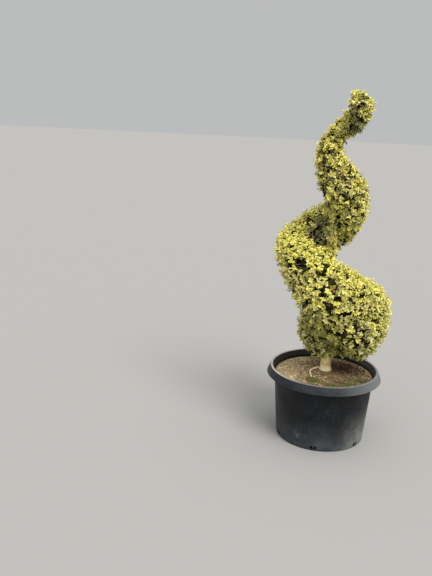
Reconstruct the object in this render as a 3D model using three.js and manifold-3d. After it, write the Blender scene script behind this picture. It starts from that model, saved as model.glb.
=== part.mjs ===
// A spiral topiary in its nursery pot: one small-leaved evergreen shrub, its foliage clipped
// into a single band that winds up and round one upright trunk.
// Millimetres, +Z up. The origin is the centre of the pot's flat underside. +X is to the right
// and +Y away, as the plant is seen from its front.

import * as THREE from 'three';
import { mergeVertices } from 'three/addons/utils/BufferGeometryUtils.js';
import { ParametricGeometry } from 'three/addons/geometries/ParametricGeometry.js';
import Module from 'manifold-3d';

const wasm = await Module();
wasm.setup();

// Clearance between pieces that touch
const GAP = 0.3;

// Pot
const POT_HEIGHT = 312.5;
const POT_BASE_RADIUS = 191.5;
const POT_BASE_ROUNDING = 5;
const POT_SHOULDER_RADIUS = 215;
const POT_SHOULDER_Z = 283;
const POT_WALL = 3.6;
const POT_FLOOR = 4;
const RIM_LIP_RADIUS = 233.5;
const RIM_MOUTH_RADIUS = 224;
const RIM_BAND_RADIUS = 248;
const RIM_BAND_LOW_Z = 279;
const RIM_BAND_THICKNESS = 4;
const RIM_GROOVE_TOP_Z = 290;
const RIM_STEP_RADIUS = 219.5;
const RIM_STEP_Z = 288;
const DRAIN_GROUPS = 6;
const DRAIN_FIRST_ANGLE = -5;
const DRAIN_PAIR_SPACING = 18;
const DRAIN_WIDTH = 9;
const DRAIN_HEIGHT = 12;
const DRAIN_LOW_Z = 9;
const ROUND_SEGMENTS = 48;

// Potting mix
const SOIL_EDGE_Z = 281;
const SOIL_SLOPE_RADIUS = 150;
const SOIL_SLOPE_Z = 286;
const SOIL_TOP_RADIUS = 76;
const SOIL_TOP_Z = 290;

// Trunk
const TRUNK_X = 6;
const TRUNK_Y = 26;
const TRUNK_TOP_Z = 1428;
const TRUNK_FOOT_RADIUS = 24;
const TRUNK_TIP_RADIUS = 3;
const TRUNK_FLARE = 3.5;
const TRUNK_FLARE_HEIGHT = 14;
const TRUNK_SWAY = 3;
const TRUNK_SWAY_LENGTH = 150;
const TRUNK_LEAN_Z = 1290;
const TRUNK_LEAN = 30;
const TRUNK_SIDES = 12;
const TRUNK_STEPS = 20;
const TRUNK_STEP_POWER = 1.6;

// Above the lower turns the trunk, and with it the band's axis, stands off to the left. Both
// come back under the tip.
const AXIS_SHIFT = -28;
const TRUNK_BEND_LOW_Z = 350;
const TRUNK_BEND_HIGH_Z = 850;
const BAND_BEND_LOW_Z = 700;
const BAND_BEND_HIGH_Z = 920;
const AXIS_RETURN_Z = 1250;
const AXIS_TOP_Z = 1400;

// Root that lies on the potting mix: its path as offsets from the pot's axis
const ROOT_PATH = [[-22.5, 35.5], [-40, 18.5], [-55.5, -4], [-58.5, -22], [-55.5, -50], [-50, -82]];
const ROOT_RADIUS = 4.2;
const ROOT_END_RADIUS = 2.8;
const ROOT_REST = 0.5;
const ROOT_SIDES = 6;
const ROOT_STEPS = 14;

// Foliage band, by turns round the trunk: 0 is to the right, then 0.25 front, 0.5 left and
// 0.75 behind. Each station gives the height of the band's middle, how far it reaches from
// the trunk's middle, and how far it rises above and drops below its own middle.
const BAND_STATIONS = [
  { turn: -0.75, middle: 455, reach: 66, rise: 95, drop: 110 },
  { turn: -0.5, middle: 468, reach: 143, rise: 118, drop: 110 },
  { turn: -0.25, middle: 482, reach: 195, rise: 146, drop: 150 },
  { turn: 0, middle: 520, reach: 264, rise: 194, drop: 178 },
  { turn: 0.25, middle: 648, reach: 254, rise: 190, drop: 176 },
  { turn: 0.5, middle: 812, reach: 244, rise: 113, drop: 147 },
  { turn: 0.75, middle: 928, reach: 182, rise: 132, drop: 144 },
  { turn: 1, middle: 1022, reach: 158, rise: 128, drop: 138 },
  { turn: 1.25, middle: 1122, reach: 122, rise: 154, drop: 115 },
  { turn: 1.5, middle: 1210, reach: 94, rise: 92, drop: 106 },
  { turn: 1.75, middle: 1326, reach: 114, rise: 98, drop: 76 },
  { turn: 2, middle: 1408, reach: 114, rise: 62, drop: 98 },
  { turn: 2.25, middle: 1441, reach: 112, rise: 66, drop: 66 },
];
const STATION_STEP = 0.25;
const FIRST_STATION = -0.75;
const BAND_START = -0.86;
const BAND_END = 2.262;
const START_ROUNDING = 0.16;
const END_ROUNDING = 0.14;
const BAND_INNER_RADIUS = 16;
const SECTION_POWER = 2.3;
const LOWER_OUTER_POWER = 1.7;
const LOWER_INNER_POWER = 3.2;

// Foliage masses: each takes a little over half a turn of the band
const MASS_COUNT = 6;
const MASS_TURNS = (BAND_END - BAND_START) / MASS_COUNT;
const SEAM_GAP = 0.2;
const CORE_CLEARANCE = 0.5;
const CORE_INSET = 18;
const CORE_END_INSET = 0.06;
const CORE_RINGS = 13;
const CORE_SIDES = 14;

// Short growth that clothes the trunk between the upper turns: part of the upper masses
const SLEEVE_FIRST_MASS = 3;
const SLEEVE_LOW_Z = 895;
const SLEEVE_HIGH_Z = 1400;
const SLEEVE_THICKNESS = 15;
const SLEEVE_SIDES = 10;
const SLEEVE_STEPS = 4;
const SLEEVE_MARGIN = 1.5;
const SLEEVE_ROW_HEIGHT = 62;
const SLEEVE_ROW_SPRIGS = 5;
const SLEEVE_LEAF_LENGTH = 32;

// Sprigs that stand out of each mass's core
const SPRIG_SPACING = 82;
const SPRIG_SINK = 13;
const TWIG_LENGTH = 26;
const TWIG_RADIUS = 3.4;
const LEAF_LENGTH = 50;
const LEAF_WIDTH = 30;
const LEAF_THICKNESS = 3;
const LEAF_MIN_LENGTH = 26;
const LEAF_LENGTH_STEP = 4;
const END_LEAF_START = 0.45;
const SIDE_LEAF_START = 0.2;
const SIDE_LEAF_ANGLE = 58;
const SPRIG_SPREAD = 0.3;
const SPRIG_LIFT = 0.2;
const SPRIG_SEED = 20417;
const LIMB_MARGIN = 3;
const OTHER_TURN_DEPTH = 1.05;

// Boughs: two to a mass. Heights are shares of the band's drop, the run is a share of the
// way to its reach, and the bend is a share of the run.
const BOUGH_COUNT = 12;
const BOUGH_FIRST_TURN = -0.625;
const BOUGH_STEP = 0.25;
const BOUGH_START_LOW = 0.45;
const BOUGH_BEND_UP = 0.12;
const BOUGH_END_HIGH = 0.05;
const BOUGH_RUN = 0.62;
const BOUGH_BEND = 0.6;
const BOUGH_LEAST_RADIUS = 1.6;
const BOUGH_TRUNK_SHARE = 0.22;
const BOUGH_TAPER = 0.5;
const BOUGH_SIDES = 6;
const BOUGH_STEPS = 5;

// A small seeded random number generator, so the plant is the same each time
function seededRandom(seed) {
  let state = seed;
  return () => {
    state = (state * 1664525 + 1013904223) % 4294967296;
    return state / 4294967296;
  };
}

// Turns a three.js geometry into a solid: shared vertices are merged, triangles that a
// collapsed ring left without area are dropped, and the faces are made to point out
function toSolid(geometry) {
  const bare = geometry.clone();
  bare.deleteAttribute('normal');
  bare.deleteAttribute('uv');
  const merged = mergeVertices(bare, 1e-3);
  const position = merged.attributes.position;
  const corner = [new THREE.Vector3(), new THREE.Vector3(), new THREE.Vector3()];
  const triangles = [];
  let volume = 0;
  for (let i = 0; i < merged.index.count; i += 3) {
    const ids = [0, 1, 2].map((k) => merged.index.getX(i + k));
    if (ids[0] === ids[1] || ids[1] === ids[2] || ids[2] === ids[0]) continue;
    ids.forEach((id, k) => corner[k].fromBufferAttribute(position, id));
    volume += corner[0].dot(corner[1].clone().cross(corner[2]));
    triangles.push(ids);
  }
  if (volume < 0) triangles.forEach((ids) => ids.reverse());
  return new wasm.Manifold(new wasm.Mesh({
    numProp: 3,
    vertProperties: new Float32Array(position.array),
    triVerts: new Uint32Array(triangles.flat()),
  }));
}

function toGeometry(solid) {
  const mesh = solid.getMesh();
  const geometry = new THREE.BufferGeometry();
  geometry.setAttribute('position', new THREE.BufferAttribute(mesh.vertProperties, mesh.numProp));
  geometry.setIndex(new THREE.BufferAttribute(mesh.triVerts, 1));
  geometry.computeVertexNormals();
  return geometry;
}

// The largest piece of a solid: loose scraps go, and a hollow that fusing sealed is filled
function largestPiece(solid) {
  const pieces = solid.decompose();
  return pieces.reduce((best, piece) => (piece.volume() > best.volume() ? piece : best));
}

function lathe(profile) {
  const points = profile.map(([radius, z]) => new THREE.Vector2(radius, z));
  return new THREE.LatheGeometry(points, ROUND_SEGMENTS).rotateX(Math.PI / 2);
}

function potWallRadius(z) {
  const rise = z / POT_SHOULDER_Z;
  return POT_BASE_RADIUS + (POT_SHOULDER_RADIUS - POT_BASE_RADIUS) * rise;
}

// The rim is a band folded outward and down, open underneath
function potGeometry() {
  const slope = (RIM_BAND_RADIUS - RIM_LIP_RADIUS) / (POT_HEIGHT - RIM_BAND_LOW_Z);
  const bandInner = RIM_BAND_RADIUS - RIM_BAND_THICKNESS;
  const grooveTopRadius = bandInner - slope * (RIM_GROOVE_TOP_Z - RIM_BAND_LOW_Z);
  const shell = toSolid(lathe([
    [0, 0],
    [POT_BASE_RADIUS - POT_BASE_ROUNDING, 0],
    [POT_BASE_RADIUS - 1, POT_BASE_ROUNDING / 2],
    [potWallRadius(POT_BASE_ROUNDING + 2), POT_BASE_ROUNDING + 2],
    [POT_SHOULDER_RADIUS, POT_SHOULDER_Z],
    [RIM_STEP_RADIUS + POT_WALL, RIM_GROOVE_TOP_Z],
    [grooveTopRadius, RIM_GROOVE_TOP_Z],
    [bandInner, RIM_BAND_LOW_Z],
    [RIM_BAND_RADIUS, RIM_BAND_LOW_Z],
    [RIM_LIP_RADIUS + 1, POT_HEIGHT - 2],
    [RIM_LIP_RADIUS - 2, POT_HEIGHT],
    [RIM_MOUTH_RADIUS + 2, POT_HEIGHT],
    [RIM_MOUTH_RADIUS, POT_HEIGHT - 2],
    [RIM_STEP_RADIUS, RIM_STEP_Z + 4],
    [POT_SHOULDER_RADIUS - POT_WALL, RIM_STEP_Z - 6],
    [potWallRadius(POT_FLOOR) - POT_WALL, POT_FLOOR],
    [0, POT_FLOOR],
  ]));
  let pot = shell;
  for (let group = 0; group < DRAIN_GROUPS; group += 1) {
    for (const side of [-1, 1]) {
      const angle = THREE.MathUtils.degToRad(DRAIN_FIRST_ANGLE + (360 / DRAIN_GROUPS) * group);
      const hole = new THREE.BoxGeometry(DRAIN_WIDTH, 8 * POT_WALL, DRAIN_HEIGHT);
      hole.translate((side * DRAIN_PAIR_SPACING) / 2, -POT_BASE_RADIUS, DRAIN_LOW_Z + DRAIN_HEIGHT / 2);
      hole.rotateZ(angle);
      pot = pot.subtract(toSolid(hole));
    }
  }
  return toGeometry(pot);
}

// Potting mix fills the pot to a little under its rim, with a low flat-topped mound
function soilGeometry() {
  const edge = potWallRadius(SOIL_EDGE_Z) - POT_WALL - GAP;
  const low = potWallRadius(POT_FLOOR + GAP) - POT_WALL - GAP;
  return lathe([
    [0, POT_FLOOR + GAP],
    [low, POT_FLOOR + GAP],
    [edge - 1, SOIL_EDGE_Z],
    [SOIL_SLOPE_RADIUS, SOIL_SLOPE_Z],
    [SOIL_TOP_RADIUS, SOIL_TOP_Z],
    [0, SOIL_TOP_Z],
  ]);
}

function soilHeight(x, y) {
  const radius = Math.hypot(x, y);
  if (radius <= SOIL_TOP_RADIUS) return SOIL_TOP_Z;
  const down = (radius - SOIL_TOP_RADIUS) / (SOIL_SLOPE_RADIUS - SOIL_TOP_RADIUS);
  return SOIL_TOP_Z - (SOIL_TOP_Z - SOIL_SLOPE_Z) * Math.min(down, 1);
}

// A tapering limb: a cylinder's rings are carried onto a path. place(t) gives the middle and
// the two directions of the ring at t, and radius(t) its size.
function limbGeometry(place, radius, sides, steps) {
  const geometry = new THREE.CylinderGeometry(1, 1, 1, sides, steps);
  const position = geometry.attributes.position;
  for (let i = 0; i < position.count; i += 1) {
    const t = position.getY(i) + 0.5;
    const { middle, first, second } = place(t);
    const size = radius(t);
    const point = middle.clone();
    point.addScaledVector(first, position.getX(i) * size);
    point.addScaledVector(second, position.getZ(i) * size);
    position.setXYZ(i, point.x, point.y, point.z);
  }
  return geometry;
}

function shiftedX(z, bendLow, bendHigh) {
  const { smoothstep } = THREE.MathUtils;
  const away = smoothstep(z, bendLow, bendHigh) - smoothstep(z, AXIS_RETURN_Z, AXIS_TOP_Z);
  return TRUNK_X + AXIS_SHIFT * away;
}

// The trunk's middle at a height: it sways a little, and its leader is bent into the tip
function trunkMiddle(z) {
  const up = z - SOIL_TOP_Z;
  const sway = TRUNK_SWAY * Math.min(up / TRUNK_SWAY_LENGTH, 1);
  const lean = TRUNK_LEAN * (Math.max(z - TRUNK_LEAN_Z, 0) / (TRUNK_TOP_Z - TRUNK_LEAN_Z)) ** 2;
  const bent = shiftedX(z, TRUNK_BEND_LOW_Z, TRUNK_BEND_HIGH_Z);
  const x = bent + sway * Math.sin(up / TRUNK_SWAY_LENGTH) + lean;
  const y = TRUNK_Y + sway * Math.sin(up / TRUNK_SWAY_LENGTH + 2);
  return new THREE.Vector3(x, y, z);
}

function trunkRadius(z) {
  const up = z - SOIL_TOP_Z;
  const taper = up / (TRUNK_TOP_Z - SOIL_TOP_Z);
  const flare = TRUNK_FLARE * Math.exp(-up / TRUNK_FLARE_HEIGHT);
  return TRUNK_FOOT_RADIUS + (TRUNK_TIP_RADIUS - TRUNK_FOOT_RADIUS) * taper + flare;
}

// The steps are closer together at the foot, where the trunk flares
function trunkGeometry(clearance) {
  const low = SOIL_TOP_Z + GAP - clearance;
  const high = TRUNK_TOP_Z + clearance;
  const zAt = (t) => low + (high - low) * t ** TRUNK_STEP_POWER;
  const first = new THREE.Vector3(1, 0, 0);
  const second = new THREE.Vector3(0, -1, 0);
  const place = (t) => ({ middle: trunkMiddle(zAt(t)), first, second });
  return limbGeometry(place, (t) => trunkRadius(zAt(t)) + clearance, TRUNK_SIDES, TRUNK_STEPS);
}

// A limb along a curve
function curveLimb(curve, radius, sides, steps) {
  const place = (t) => {
    const along = curve.getTangentAt(t);
    const first = new THREE.Vector3(0, 0, 1).cross(along).normalize();
    return { middle: curve.getPointAt(t), first, second: first.clone().cross(along) };
  };
  return limbGeometry(place, radius, sides, steps);
}

function rootGeometry() {
  const radius = (t) => ROOT_RADIUS + (ROOT_END_RADIUS - ROOT_RADIUS) * t;
  const points = ROOT_PATH.map(([x, y], i) => {
    const t = i / (ROOT_PATH.length - 1);
    return new THREE.Vector3(x, y, soilHeight(x, y) + radius(t) + ROOT_REST);
  });
  return curveLimb(new THREE.CatmullRomCurve3(points), radius, ROOT_SIDES, ROOT_STEPS);
}

// The axis that the band winds round
function axisX(z) {
  return shiftedX(z, BAND_BEND_LOW_Z, BAND_BEND_HIGH_Z);
}

// The band's sizes at any turn, on a smooth curve through the stations
function bandAt(turn) {
  const last = BAND_STATIONS.length - 1;
  const place = THREE.MathUtils.clamp((turn - FIRST_STATION) / STATION_STEP, 0, last);
  const low = Math.min(Math.floor(place), last - 1);
  const t = place - low;
  const value = (index, key) => BAND_STATIONS[THREE.MathUtils.clamp(index, 0, last)][key];
  const slope = (index, key) => {
    const span = index === 0 || index === last ? 1 : 2;
    return (value(index + 1, key) - value(index - 1, key)) / span;
  };
  const size = {};
  for (const key of ['middle', 'reach', 'rise', 'drop']) {
    const curve = (2 * t ** 3 - 3 * t ** 2 + 1) * value(low, key);
    const next = (3 * t ** 2 - 2 * t ** 3) * value(low + 1, key);
    const bend = (t ** 3 - 2 * t ** 2 + t) * slope(low, key) + (t ** 3 - t ** 2) * slope(low + 1, key);
    size[key] = curve + next + bend;
  }
  return size;
}

// The band's two ends are rounded: 1 along its length, falling to 0 at each end
function endFactor(turn, endInset) {
  const start = (BAND_START + endInset + START_ROUNDING - turn) / START_ROUNDING;
  const end = (turn - (BAND_END - endInset - END_ROUNDING)) / END_ROUNDING;
  const past = THREE.MathUtils.clamp(Math.max(start, end), 0, 1);
  return Math.sqrt(1 - past ** 2);
}

function sectionPower(outer, upper) {
  if (upper) return SECTION_POWER;
  return outer ? LOWER_OUTER_POWER : LOWER_INNER_POWER;
}

// The band's cross-section at a turn: its middle radius and its four half sizes. A core is
// inset on every side but the one toward the trunk.
function sectionAt(turn, inset) {
  const { middle, reach, rise, drop } = bandAt(turn);
  const isCore = inset > 0;
  const end = endFactor(turn, isCore ? CORE_END_INSET : 0);
  const half = (reach - BAND_INNER_RADIUS) / 2;
  const grown = isCore ? CORE_INSET - inset : 0;
  const shrink = (size) => Math.max(size - inset, size / 4) * end;
  return { middle, radius: BAND_INNER_RADIUS + half, out: shrink(half),
    inward: (half + grown) * end, rise: shrink(rise), drop: shrink(drop) };
}

// A point of the band's surface: around runs once round the cross-section, from its outer
// side over its top, and fill below 1 lies inside it
function bandPoint(turn, around, inset, fill = 1) {
  const section = sectionAt(turn, inset);
  const across = Math.cos(around);
  const up = Math.sin(around);
  const power = 2 / sectionPower(across > 0, up > 0);
  const wide = across > 0 ? section.out : section.inward;
  const tall = up > 0 ? section.rise : section.drop;
  const radius = section.radius + fill * wide * Math.sign(across) * Math.abs(across) ** power;
  const z = section.middle + fill * tall * Math.sign(up) * Math.abs(up) ** power;
  const angle = -2 * Math.PI * turn;
  return new THREE.Vector3(axisX(z) + radius * Math.cos(angle), TRUNK_Y + radius * Math.sin(angle), z);
}

// How deep a point lies in the band at one turn: under 1 inside its outline, over 1 outside
function bandDepth(point, turn) {
  if (turn <= BAND_START || turn >= BAND_END) return Infinity;
  const section = sectionAt(turn, 0);
  const across = Math.hypot(point.x - axisX(point.z), point.y - TRUNK_Y) - section.radius;
  const up = point.z - section.middle;
  const power = sectionPower(across > 0, up > 0);
  const wide = Math.abs(across) / (across > 0 ? section.out : section.inward);
  const tall = Math.abs(up) / (up > 0 ? section.rise : section.drop);
  return wide ** power + tall ** power;
}

// The turns of the band that pass over a point's side of the trunk
function turnsAt(point) {
  const first = -Math.atan2(point.y - TRUNK_Y, point.x - axisX(point.z)) / (2 * Math.PI);
  const turns = [];
  for (let turn = first - 1; turn < BAND_END; turn += 1) {
    if (turn > BAND_START) turns.push(turn);
  }
  return turns;
}

function massRange(index) {
  const from = BAND_START + MASS_TURNS * index;
  return { from, to: from + MASS_TURNS };
}

// The distance from a point to the upright seam at a turn
function seamDistance(point, turn) {
  const angle = -2 * Math.PI * turn;
  const side = (point.x - axisX(point.z)) * Math.sin(angle) - (point.y - TRUNK_Y) * Math.cos(angle);
  return Math.abs(side);
}

function sleeveRadius(z) {
  return trunkRadius(z) + SLEEVE_THICKNESS;
}

function inSleeve(point) {
  if (point.z < SLEEVE_LOW_Z - SLEEVE_MARGIN || point.z > SLEEVE_HIGH_Z + SLEEVE_MARGIN) return false;
  const middle = trunkMiddle(point.z);
  return Math.hypot(point.x - middle.x, point.y - middle.y) < sleeveRadius(point.z) + SLEEVE_MARGIN;
}

// True where a point lies in one mass's own space and outside every other turn of the band
function inOwnSpace(point, index) {
  const { from, to } = massRange(index);
  if (inSleeve(point)) return false;
  let own = false;
  for (const turn of turnsAt(point)) {
    const depth = bandDepth(point, turn);
    if (turn > from && turn < to) own = depth <= 1;
    else if (depth <= OTHER_TURN_DEPTH) return false;
  }
  return own && Math.min(seamDistance(point, from), seamDistance(point, to)) > 2 * SEAM_GAP;
}

// The clipped core of a mass: its rings follow the band, and its two ends are flat where the
// next mass starts, so the first and last rings are drawn together into points
function coreSolid(index, grow) {
  const { from, to } = massRange(index);
  const point = (s, v, target) => {
    const ring = Math.round(s * (CORE_RINGS + 1));
    const along = THREE.MathUtils.clamp((ring - 1) / (CORE_RINGS - 1), 0, 1);
    const turn = from + (to - from) * along;
    const fill = ring === 0 || ring === CORE_RINGS + 1 ? 0 : 1;
    target.copy(bandPoint(turn, 2 * Math.PI * v, CORE_INSET - grow, fill));
    if (along === 0 || along === 1) {
      const angle = -2 * Math.PI * turn;
      const back = (along === 0 ? 1 : -1) * (SEAM_GAP - grow);
      target.x += back * Math.sin(angle);
      target.y -= back * Math.cos(angle);
    }
  };
  return toSolid(new ParametricGeometry(point, CORE_RINGS + 1, CORE_SIDES));
}

// The heights of the trunk that a mass's sleeve clothes
function sleeveRange(index) {
  const { from, to } = massRange(index);
  return {
    low: index === SLEEVE_FIRST_MASS ? SLEEVE_LOW_Z : bandAt(from).middle + SEAM_GAP,
    high: index === MASS_COUNT - 1 ? SLEEVE_HIGH_Z : bandAt(to).middle - SEAM_GAP,
  };
}

// The sleeve of a mass: a tube round the trunk, which gives way to every other mass's core
function sleeveSolid(index, grow) {
  const range = sleeveRange(index);
  const low = range.low - grow;
  const high = range.high + grow;
  const zAt = (t) => low + (high - low) * t;
  const radius = (t) => sleeveRadius(zAt(t)) + grow;
  const first = new THREE.Vector3(1, 0, 0);
  const second = new THREE.Vector3(0, -1, 0);
  const place = (t) => ({ middle: trunkMiddle(zAt(t)), first, second });
  let sleeve = toSolid(limbGeometry(place, radius, SLEEVE_SIDES, SLEEVE_STEPS));
  for (let other = index - 2; other < Math.min(index + 3, MASS_COUNT); other += 1) {
    if (other !== index) sleeve = sleeve.subtract(coreSolid(other, CORE_CLEARANCE));
  }
  return sleeve;
}

// True where a point lies beside a mass's sleeve and outside every turn of the band
function inSleeveSpace(point, index) {
  const { low, high } = sleeveRange(index);
  if (point.z < low + SLEEVE_MARGIN || point.z > high - SLEEVE_MARGIN) return false;
  return turnsAt(point).every((turn) => bandDepth(point, turn) > OTHER_TURN_DEPTH);
}

// A leaf of eight faces, from its root along a direction
function leafGeometry(root, along, across, length) {
  const scale = length / LEAF_LENGTH;
  const out = along.clone().multiplyScalar(length / 2);
  const wide = across.clone().multiplyScalar((LEAF_WIDTH * scale) / 2);
  const thick = along.clone().cross(across).multiplyScalar(LEAF_THICKNESS / 2);
  const place = new THREE.Matrix4().makeBasis(out, wide, thick).setPosition(root.clone().add(out));
  return new THREE.OctahedronGeometry(1, 0).applyMatrix4(place);
}

// A three-sided twig that narrows to a point
function twigGeometry(root, along) {
  const cone = new THREE.ConeGeometry(TWIG_RADIUS, TWIG_LENGTH, 3).translate(0, TWIG_LENGTH / 2, 0);
  const turn = new THREE.Quaternion().setFromUnitVectors(new THREE.Vector3(0, 1, 0), along);
  return cone.applyQuaternion(turn).translate(root.x, root.y, root.z);
}

function randomDirection(random) {
  const spread = () => random() * 2 - 1;
  return new THREE.Vector3(spread(), spread(), spread());
}

// The way out of the band's surface at a place on it
function outward(turn, around) {
  const small = 0.01;
  const here = bandPoint(turn, around, CORE_INSET);
  const on = bandPoint(turn + small, around, CORE_INSET).sub(here);
  const over = bandPoint(turn, around + small, CORE_INSET).sub(here);
  const out = over.cross(on).normalize();
  const middle = bandPoint(turn, around, CORE_INSET, 0);
  return out.dot(here.sub(middle)) < 0 ? out.negate() : out;
}

// The trunk and the boughs, as rows of spheres that leaves and twigs keep clear of
function limbSpheres(boughs) {
  const spheres = [];
  for (let z = SOIL_TOP_Z; z < TRUNK_TOP_Z; z += 8) {
    spheres.push({ middle: trunkMiddle(z), radius: trunkRadius(z) });
  }
  for (const bough of boughs) {
    for (let t = 0; t <= 1; t += 0.1) {
      spheres.push({ middle: bough.curve.getPointAt(t), radius: bough.radius(t) });
    }
  }
  return spheres;
}

// The corners of a twig or leaf, with the middles of its edges and of the whole
function shapePoints(geometry) {
  const { position } = (geometry.index ? geometry.toNonIndexed() : geometry).attributes;
  const points = [];
  for (let i = 0; i < position.count; i += 3) {
    const corners = [0, 1, 2].map((k) => new THREE.Vector3().fromBufferAttribute(position, i + k));
    corners.forEach((corner, k) => {
      points.push(corner, corner.clone().lerp(corners[(k + 1) % 3], 0.5));
    });
  }
  points.push(new THREE.Box3().setFromPoints(points).getCenter(new THREE.Vector3()));
  return points;
}

// True where a twig or leaf lies in its own space and clear of the limbs. Its root is sunk in
// the core, so points inside the core count too.
function fits(geometry, isOwn, spheres) {
  const clear = (point) => spheres.every(
    (limb) => point.distanceTo(limb.middle) > limb.radius + LIMB_MARGIN,
  );
  return shapePoints(geometry).every((point) => isOwn(point) && clear(point));
}

// A leaf as long as its space allows, or nothing where even a short one would leave it
function fittedLeaf(root, along, across, longest, isOwn, spheres) {
  for (let length = longest; length >= LEAF_MIN_LENGTH; length -= LEAF_LENGTH_STEP) {
    const leaf = leafGeometry(root, along, across, length);
    if (fits(leaf, isOwn, spheres)) return leaf;
  }
  return null;
}

// One sprig: a twig with a leaf at its end and a pair at its sides
function sprigSolids(root, out, longest, isOwn, spheres, random) {
  const along = out.clone().addScaledVector(randomDirection(random), SPRIG_SPREAD);
  along.z += SPRIG_LIFT;
  along.normalize();
  const across = along.clone().cross(randomDirection(random)).normalize();
  const twig = twigGeometry(root, along);
  const solids = fits(twig, isOwn, spheres) ? [twig] : [];
  const end = root.clone().addScaledVector(along, TWIG_LENGTH * END_LEAF_START);
  const addLeaf = (start, way, side) => {
    if (solids.length > 0) solids.push(fittedLeaf(start, way, side, longest, isOwn, spheres));
  };
  addLeaf(end, along, across);
  const cosine = Math.cos(THREE.MathUtils.degToRad(SIDE_LEAF_ANGLE));
  const sine = Math.sin(THREE.MathUtils.degToRad(SIDE_LEAF_ANGLE));
  for (const side of [-1, 1]) {
    const aside = along.clone().multiplyScalar(cosine).addScaledVector(across, side * sine);
    const flat = along.clone().cross(across).normalize();
    const start = root.clone().addScaledVector(along, TWIG_LENGTH * SIDE_LEAF_START);
    addLeaf(start, aside, flat);
  }
  return solids.filter((geometry) => geometry !== null).map(toSolid);
}

// Rows of sprigs along the mass, evenly spread round its cross-section and staggered
function sprigPlaces(index) {
  const { from, to } = massRange(index);
  const { reach } = bandAt((from + to) / 2);
  const rows = Math.max(Math.round((reach * 0.75 * 2 * Math.PI * MASS_TURNS) / SPRIG_SPACING), 3);
  const places = [];
  for (let row = 0; row < rows; row += 1) {
    const turn = from + ((to - from) * (row + 0.5)) / rows;
    const girth = sectionGirth(turn);
    const count = Math.max(Math.round(girth / SPRIG_SPACING), 5);
    for (let i = 0; i < count; i += 1) {
      places.push({ turn, around: (2 * Math.PI * (i + (row % 2) / 2)) / count });
    }
  }
  return places;
}

function sectionGirth(turn) {
  const steps = 24;
  let girth = 0;
  for (let i = 0; i < steps; i += 1) {
    const here = bandPoint(turn, (2 * Math.PI * i) / steps, CORE_INSET);
    girth += here.distanceTo(bandPoint(turn, (2 * Math.PI * (i + 1)) / steps, CORE_INSET));
  }
  return girth;
}

// Rings of sprigs up the sleeve, each ring turned half a step from the one below
function sleeveSprigPlaces(index) {
  const { low, high } = sleeveRange(index);
  const places = [];
  for (let row = 0; low + SLEEVE_ROW_HEIGHT * (row + 0.5) < high; row += 1) {
    const middle = trunkMiddle(low + SLEEVE_ROW_HEIGHT * (row + 0.5));
    const radius = trunkRadius(middle.z) + LIMB_MARGIN + 2 * SLEEVE_MARGIN;
    for (let i = 0; i < SLEEVE_ROW_SPRIGS; i += 1) {
      const angle = (2 * Math.PI * (i + (row % 2) / 2)) / SLEEVE_ROW_SPRIGS;
      const out = new THREE.Vector3(Math.cos(angle), Math.sin(angle), 0);
      places.push({ root: middle.clone().addScaledVector(out, radius), out });
    }
  }
  return places;
}

// The masses whose sleeves pass close to a mass
function sleevesBeside(index) {
  const others = [];
  for (let other = SLEEVE_FIRST_MASS; other < Math.min(index + 3, MASS_COUNT); other += 1) {
    if (other !== index) others.push(other);
  }
  return others;
}

// A mass: its core with sprigs fused on, cut clear of the limbs, of the masses above it and
// of their sleeves
function massGeometry(index, spheres, limbClearance) {
  const random = seededRandom(SPRIG_SEED + index);
  let mass = coreSolid(index, 0);
  for (let above = index + 1; above < Math.min(index + 3, MASS_COUNT); above += 1) {
    mass = mass.subtract(coreSolid(above, CORE_CLEARANCE));
  }
  const isOwn = (point) => inOwnSpace(point, index);
  for (const { turn, around } of sprigPlaces(index)) {
    const out = outward(turn, around);
    const root = bandPoint(turn, around, CORE_INSET).addScaledVector(out, -SPRIG_SINK);
    const solids = sprigSolids(root, out, LEAF_LENGTH, isOwn, spheres, random);
    solids.forEach((solid) => { mass = mass.add(solid); });
  }
  for (const other of sleevesBeside(index)) {
    mass = mass.subtract(sleeveSolid(other, CORE_CLEARANCE));
  }
  if (index >= SLEEVE_FIRST_MASS) {
    mass = mass.add(sleeveSolid(index, 0));
    const isBeside = (point) => inSleeveSpace(point, index);
    for (const { root, out } of sleeveSprigPlaces(index)) {
      const solids = sprigSolids(root, out, SLEEVE_LEAF_LENGTH, isBeside, spheres, random);
      solids.forEach((solid) => { mass = mass.add(solid); });
    }
  }
  return toGeometry(largestPiece(mass.subtract(limbClearance)));
}

// A bough leaves the trunk low in the band and rises as it runs out to the band's middle. It
// starts inside the trunk, which is then cut away from it.
function boughAt(turn) {
  const { middle, reach, drop } = bandAt(turn);
  const angle = -2 * Math.PI * turn;
  const startZ = middle - drop * BOUGH_START_LOW;
  const foot = trunkMiddle(startZ);
  const run = BAND_INNER_RADIUS + BOUGH_RUN * (reach - BAND_INNER_RADIUS);
  const point = (radius, z) => (
    new THREE.Vector3(radius * Math.cos(angle), radius * Math.sin(angle), 0).add(foot).setZ(z)
  );
  const curve = new THREE.QuadraticBezierCurve3(
    point(trunkRadius(startZ) * 0.6, startZ),
    point(run * BOUGH_BEND, startZ + drop * BOUGH_BEND_UP),
    point(run, middle + drop * BOUGH_END_HIGH),
  );
  const rootRadius = BOUGH_LEAST_RADIUS + trunkRadius(startZ) * BOUGH_TRUNK_SHARE;
  return { curve, radius: (t) => rootRadius * (1 - BOUGH_TAPER * t) };
}

function boughSolid(bough, clearance) {
  const radius = (t) => bough.radius(t) + clearance;
  const curve = bough.curve.clone();
  if (clearance > 0) {
    const tip = curve.getTangentAt(1).multiplyScalar(clearance);
    curve.v2.add(tip);
  }
  return toSolid(curveLimb(curve, radius, BOUGH_SIDES, BOUGH_STEPS));
}

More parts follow.
